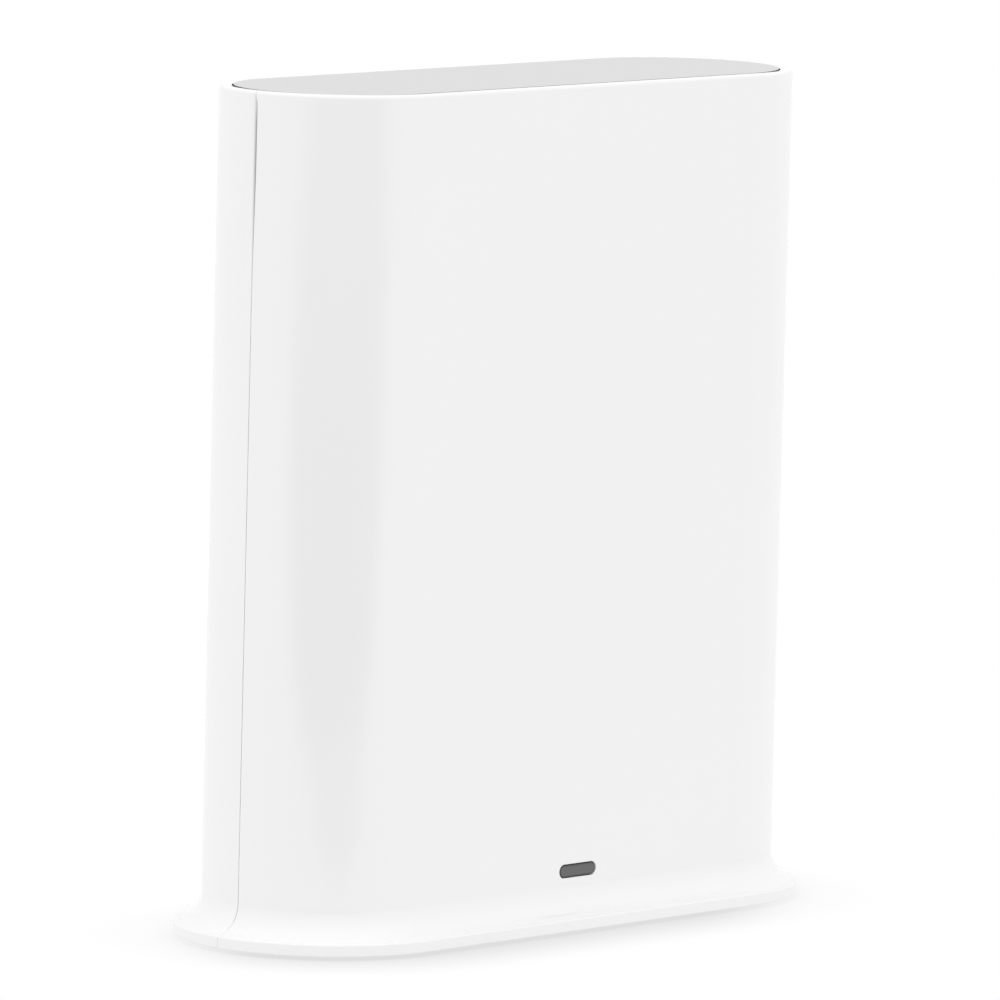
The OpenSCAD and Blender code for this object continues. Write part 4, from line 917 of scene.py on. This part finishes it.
def stage_floor():
    """A wide floor. Seen directly or reflected it is white, with a painted shadow: darker where the object
    shuts out the light close by and less so at its two ends; the light that it throws back is an even grey.
    From below it is clear."""
    s = FLOOR_HALF
    corners = [(-s, -s, 0), (s, -s, 0), (s, s, 0), (-s, s, 0)]
    mesh, tree, surface = stage_mesh("studio_floor", corners, [(0, 1, 2, 3)])
    floor = placed("studio_floor", mesh)
    near = node(tree, "AmbientOcclusion", {"Distance": SHADOW_REACH}, "AO", samples=SHADOW_RAYS)
    open_sky = maths(tree, "POWER", remap(tree, near, *SHADOW_RANGE), SHADOW_POWER)
    # Painted shadow: the floor's white, seen directly, is darkened by ambient occlusion near the object
    painted_shadow = maths(tree, "MULTIPLY_ADD", open_sky, 1 - SHADOW, SHADOW)
    across = maths(tree, "ABSOLUTE", along(tree, node(tree, "TexCoord", out="Object"), LEVEL))
    # The painted shadow fades at the object's two ends, by position along it
    ends = remap(tree, across, *FADE_RANGE, to_high=FADE_SHARE, eased=True)
    seen = node(tree, "Emission", {"Strength": node(tree, "Mix", {0: ends, 2: painted_shadow, 3: 1.0})})
    plain = node(tree, "Emission", {"Strength": FLOOR_LEVEL})
    above = node(tree, "MixShader", enumerate((seen_directly(tree), plain, seen)))
    behind, clear = node(tree, "NewGeometry", out="Backfacing"), node(tree, "BsdfTransparent")
    tree.links.new(node(tree, "MixShader", enumerate((behind, above, clear))), surface)


def studio_light():
    """White light all round, stronger from above. From the camera's side it falls with the square of how far
    a direction's cosine to the camera passes one half, and high up on the far side with that cosine times
    the height. Seen directly or reflected it is white."""
    world = bpy.data.worlds.new("studio")
    scene.world = world
    world.use_nodes = True
    tree = world.node_tree
    back = tree.nodes["Background"].inputs
    where = node(tree, "TexCoord", out="Generated")
    height, facing = node(tree, "SeparateXYZ", {0: where}, 2), along(tree, where, TOWARDS_CAMERA)
    above = maths(tree, "MULTIPLY_ADD", height, SKY_RISE, SKY_LEVEL)
    past = maths(tree, "MAXIMUM", maths(tree, "MULTIPLY_ADD", facing, 2.0, -1.0), 0.0)
    dim = maths(tree, "MULTIPLY_ADD", maths(tree, "MULTIPLY", past, past), -CAMERA_SIDE, 1.0)
    behind = maths(tree, "MULTIPLY", maths(tree, "MINIMUM", facing, 0.0), height)
    dim = maths(tree, "MULTIPLY", dim, maths(tree, "MULTIPLY_ADD", behind, FAR_SIDE, 1.0))
    light = maths(tree, "MULTIPLY", above, dim)
    back["Color"].default_value = (1, 1, 1, 1)
    tree.links.new(node(tree, "Mix", {0: seen_directly(tree), 2: light, 3: 1.0}), back["Strength"])


def photo_camera():
    """The camera at the photograph's angle: level right hand and upright, rolled about the sight."""
    upright = np.cross(LEVEL, -BACKWARD)
    right = math.cos(ROLL) * LEVEL + math.sin(ROLL) * upright
    above = -math.sin(ROLL) * LEVEL + math.cos(ROLL) * upright
    data = bpy.data.cameras.new("photo_camera")
    data.sensor_width = SENSOR
    data.lens = FOCAL
    data.clip_start, data.clip_end = CLIP_NEAR, CLIP_FAR
    camera = placed("photo_camera", data)
    place = np.eye(4)
    place[:3, :3] = np.stack([right, above, BACKWARD], 1)
    place[:3, 3] = (AIM + BACKWARD * AWAY) * MM
    camera.matrix_world = Matrix(place.tolist())
    scene.camera = camera


def card_side(far, start, gain, rate, begin):
    """A side of the card by distance: a narrow start, and a gain along a hyperbolic tangent."""
    return start * grow(far, CARD_NEAR, CARD_START) + gain * np.tanh(rate * np.maximum(far - begin, 0))


def dark_card():
    """A dark card on the floor in front, seen only in reflections, which draws the soft band down the rounded
    end. One parameter is the distance towards the camera and the other runs across. The shade is dark in the
    middle and rises to white at the edges."""
    far = np.linspace(CARD_NEAR, CARD_FAR, CARD_ROWS)[:, None]
    across = np.linspace(-1.0, 1.0, CARD_COLUMNS)[None]
    width = np.where(across < 0, card_side(far, *CARD_LEFT), card_side(far, *CARD_RIGHT))
    side = across * width / CARD_MEASURE
    points = far[..., None] * TOWARDS_CAMERA + side[..., None] * LEVEL + np.array([0, 0, CARD_LIFT])
    core = NEAR_LIGHT * grow(-far, *NEAR_FADE) + FAR_LIGHT * grow(far, *FAR_FADE)
    shade = core + (1 - core) * smooth(grow(np.abs(across), CARD_FADE, 1 - CARD_FADE))
    u, v = shade.shape
    i = np.arange(u * v).reshape(u, v)
    faces = np.stack([i[:-1, :-1], i[:-1, 1:], i[1:, 1:], i[1:, :-1]], -1).reshape(-1, 4)
    mesh, tree, surface = stage_mesh("dark_card", points.reshape(-1, 3).tolist(), faces.tolist())
    mesh.attributes.new("shade", "FLOAT", "POINT").data.foreach_set("value", shade.ravel())
    card = placed("dark_card", mesh)
    card.visible_camera = card.visible_diffuse = card.visible_shadow = card.visible_transmission = False
    amount = node(tree, "Attribute", out="Fac", attribute_name="shade")
    tree.links.new(node(tree, "Emission", {"Strength": amount}), surface)


stage_floor()
studio_light()
photo_camera()
dark_card()
scene.view_settings.view_transform = "Standard"
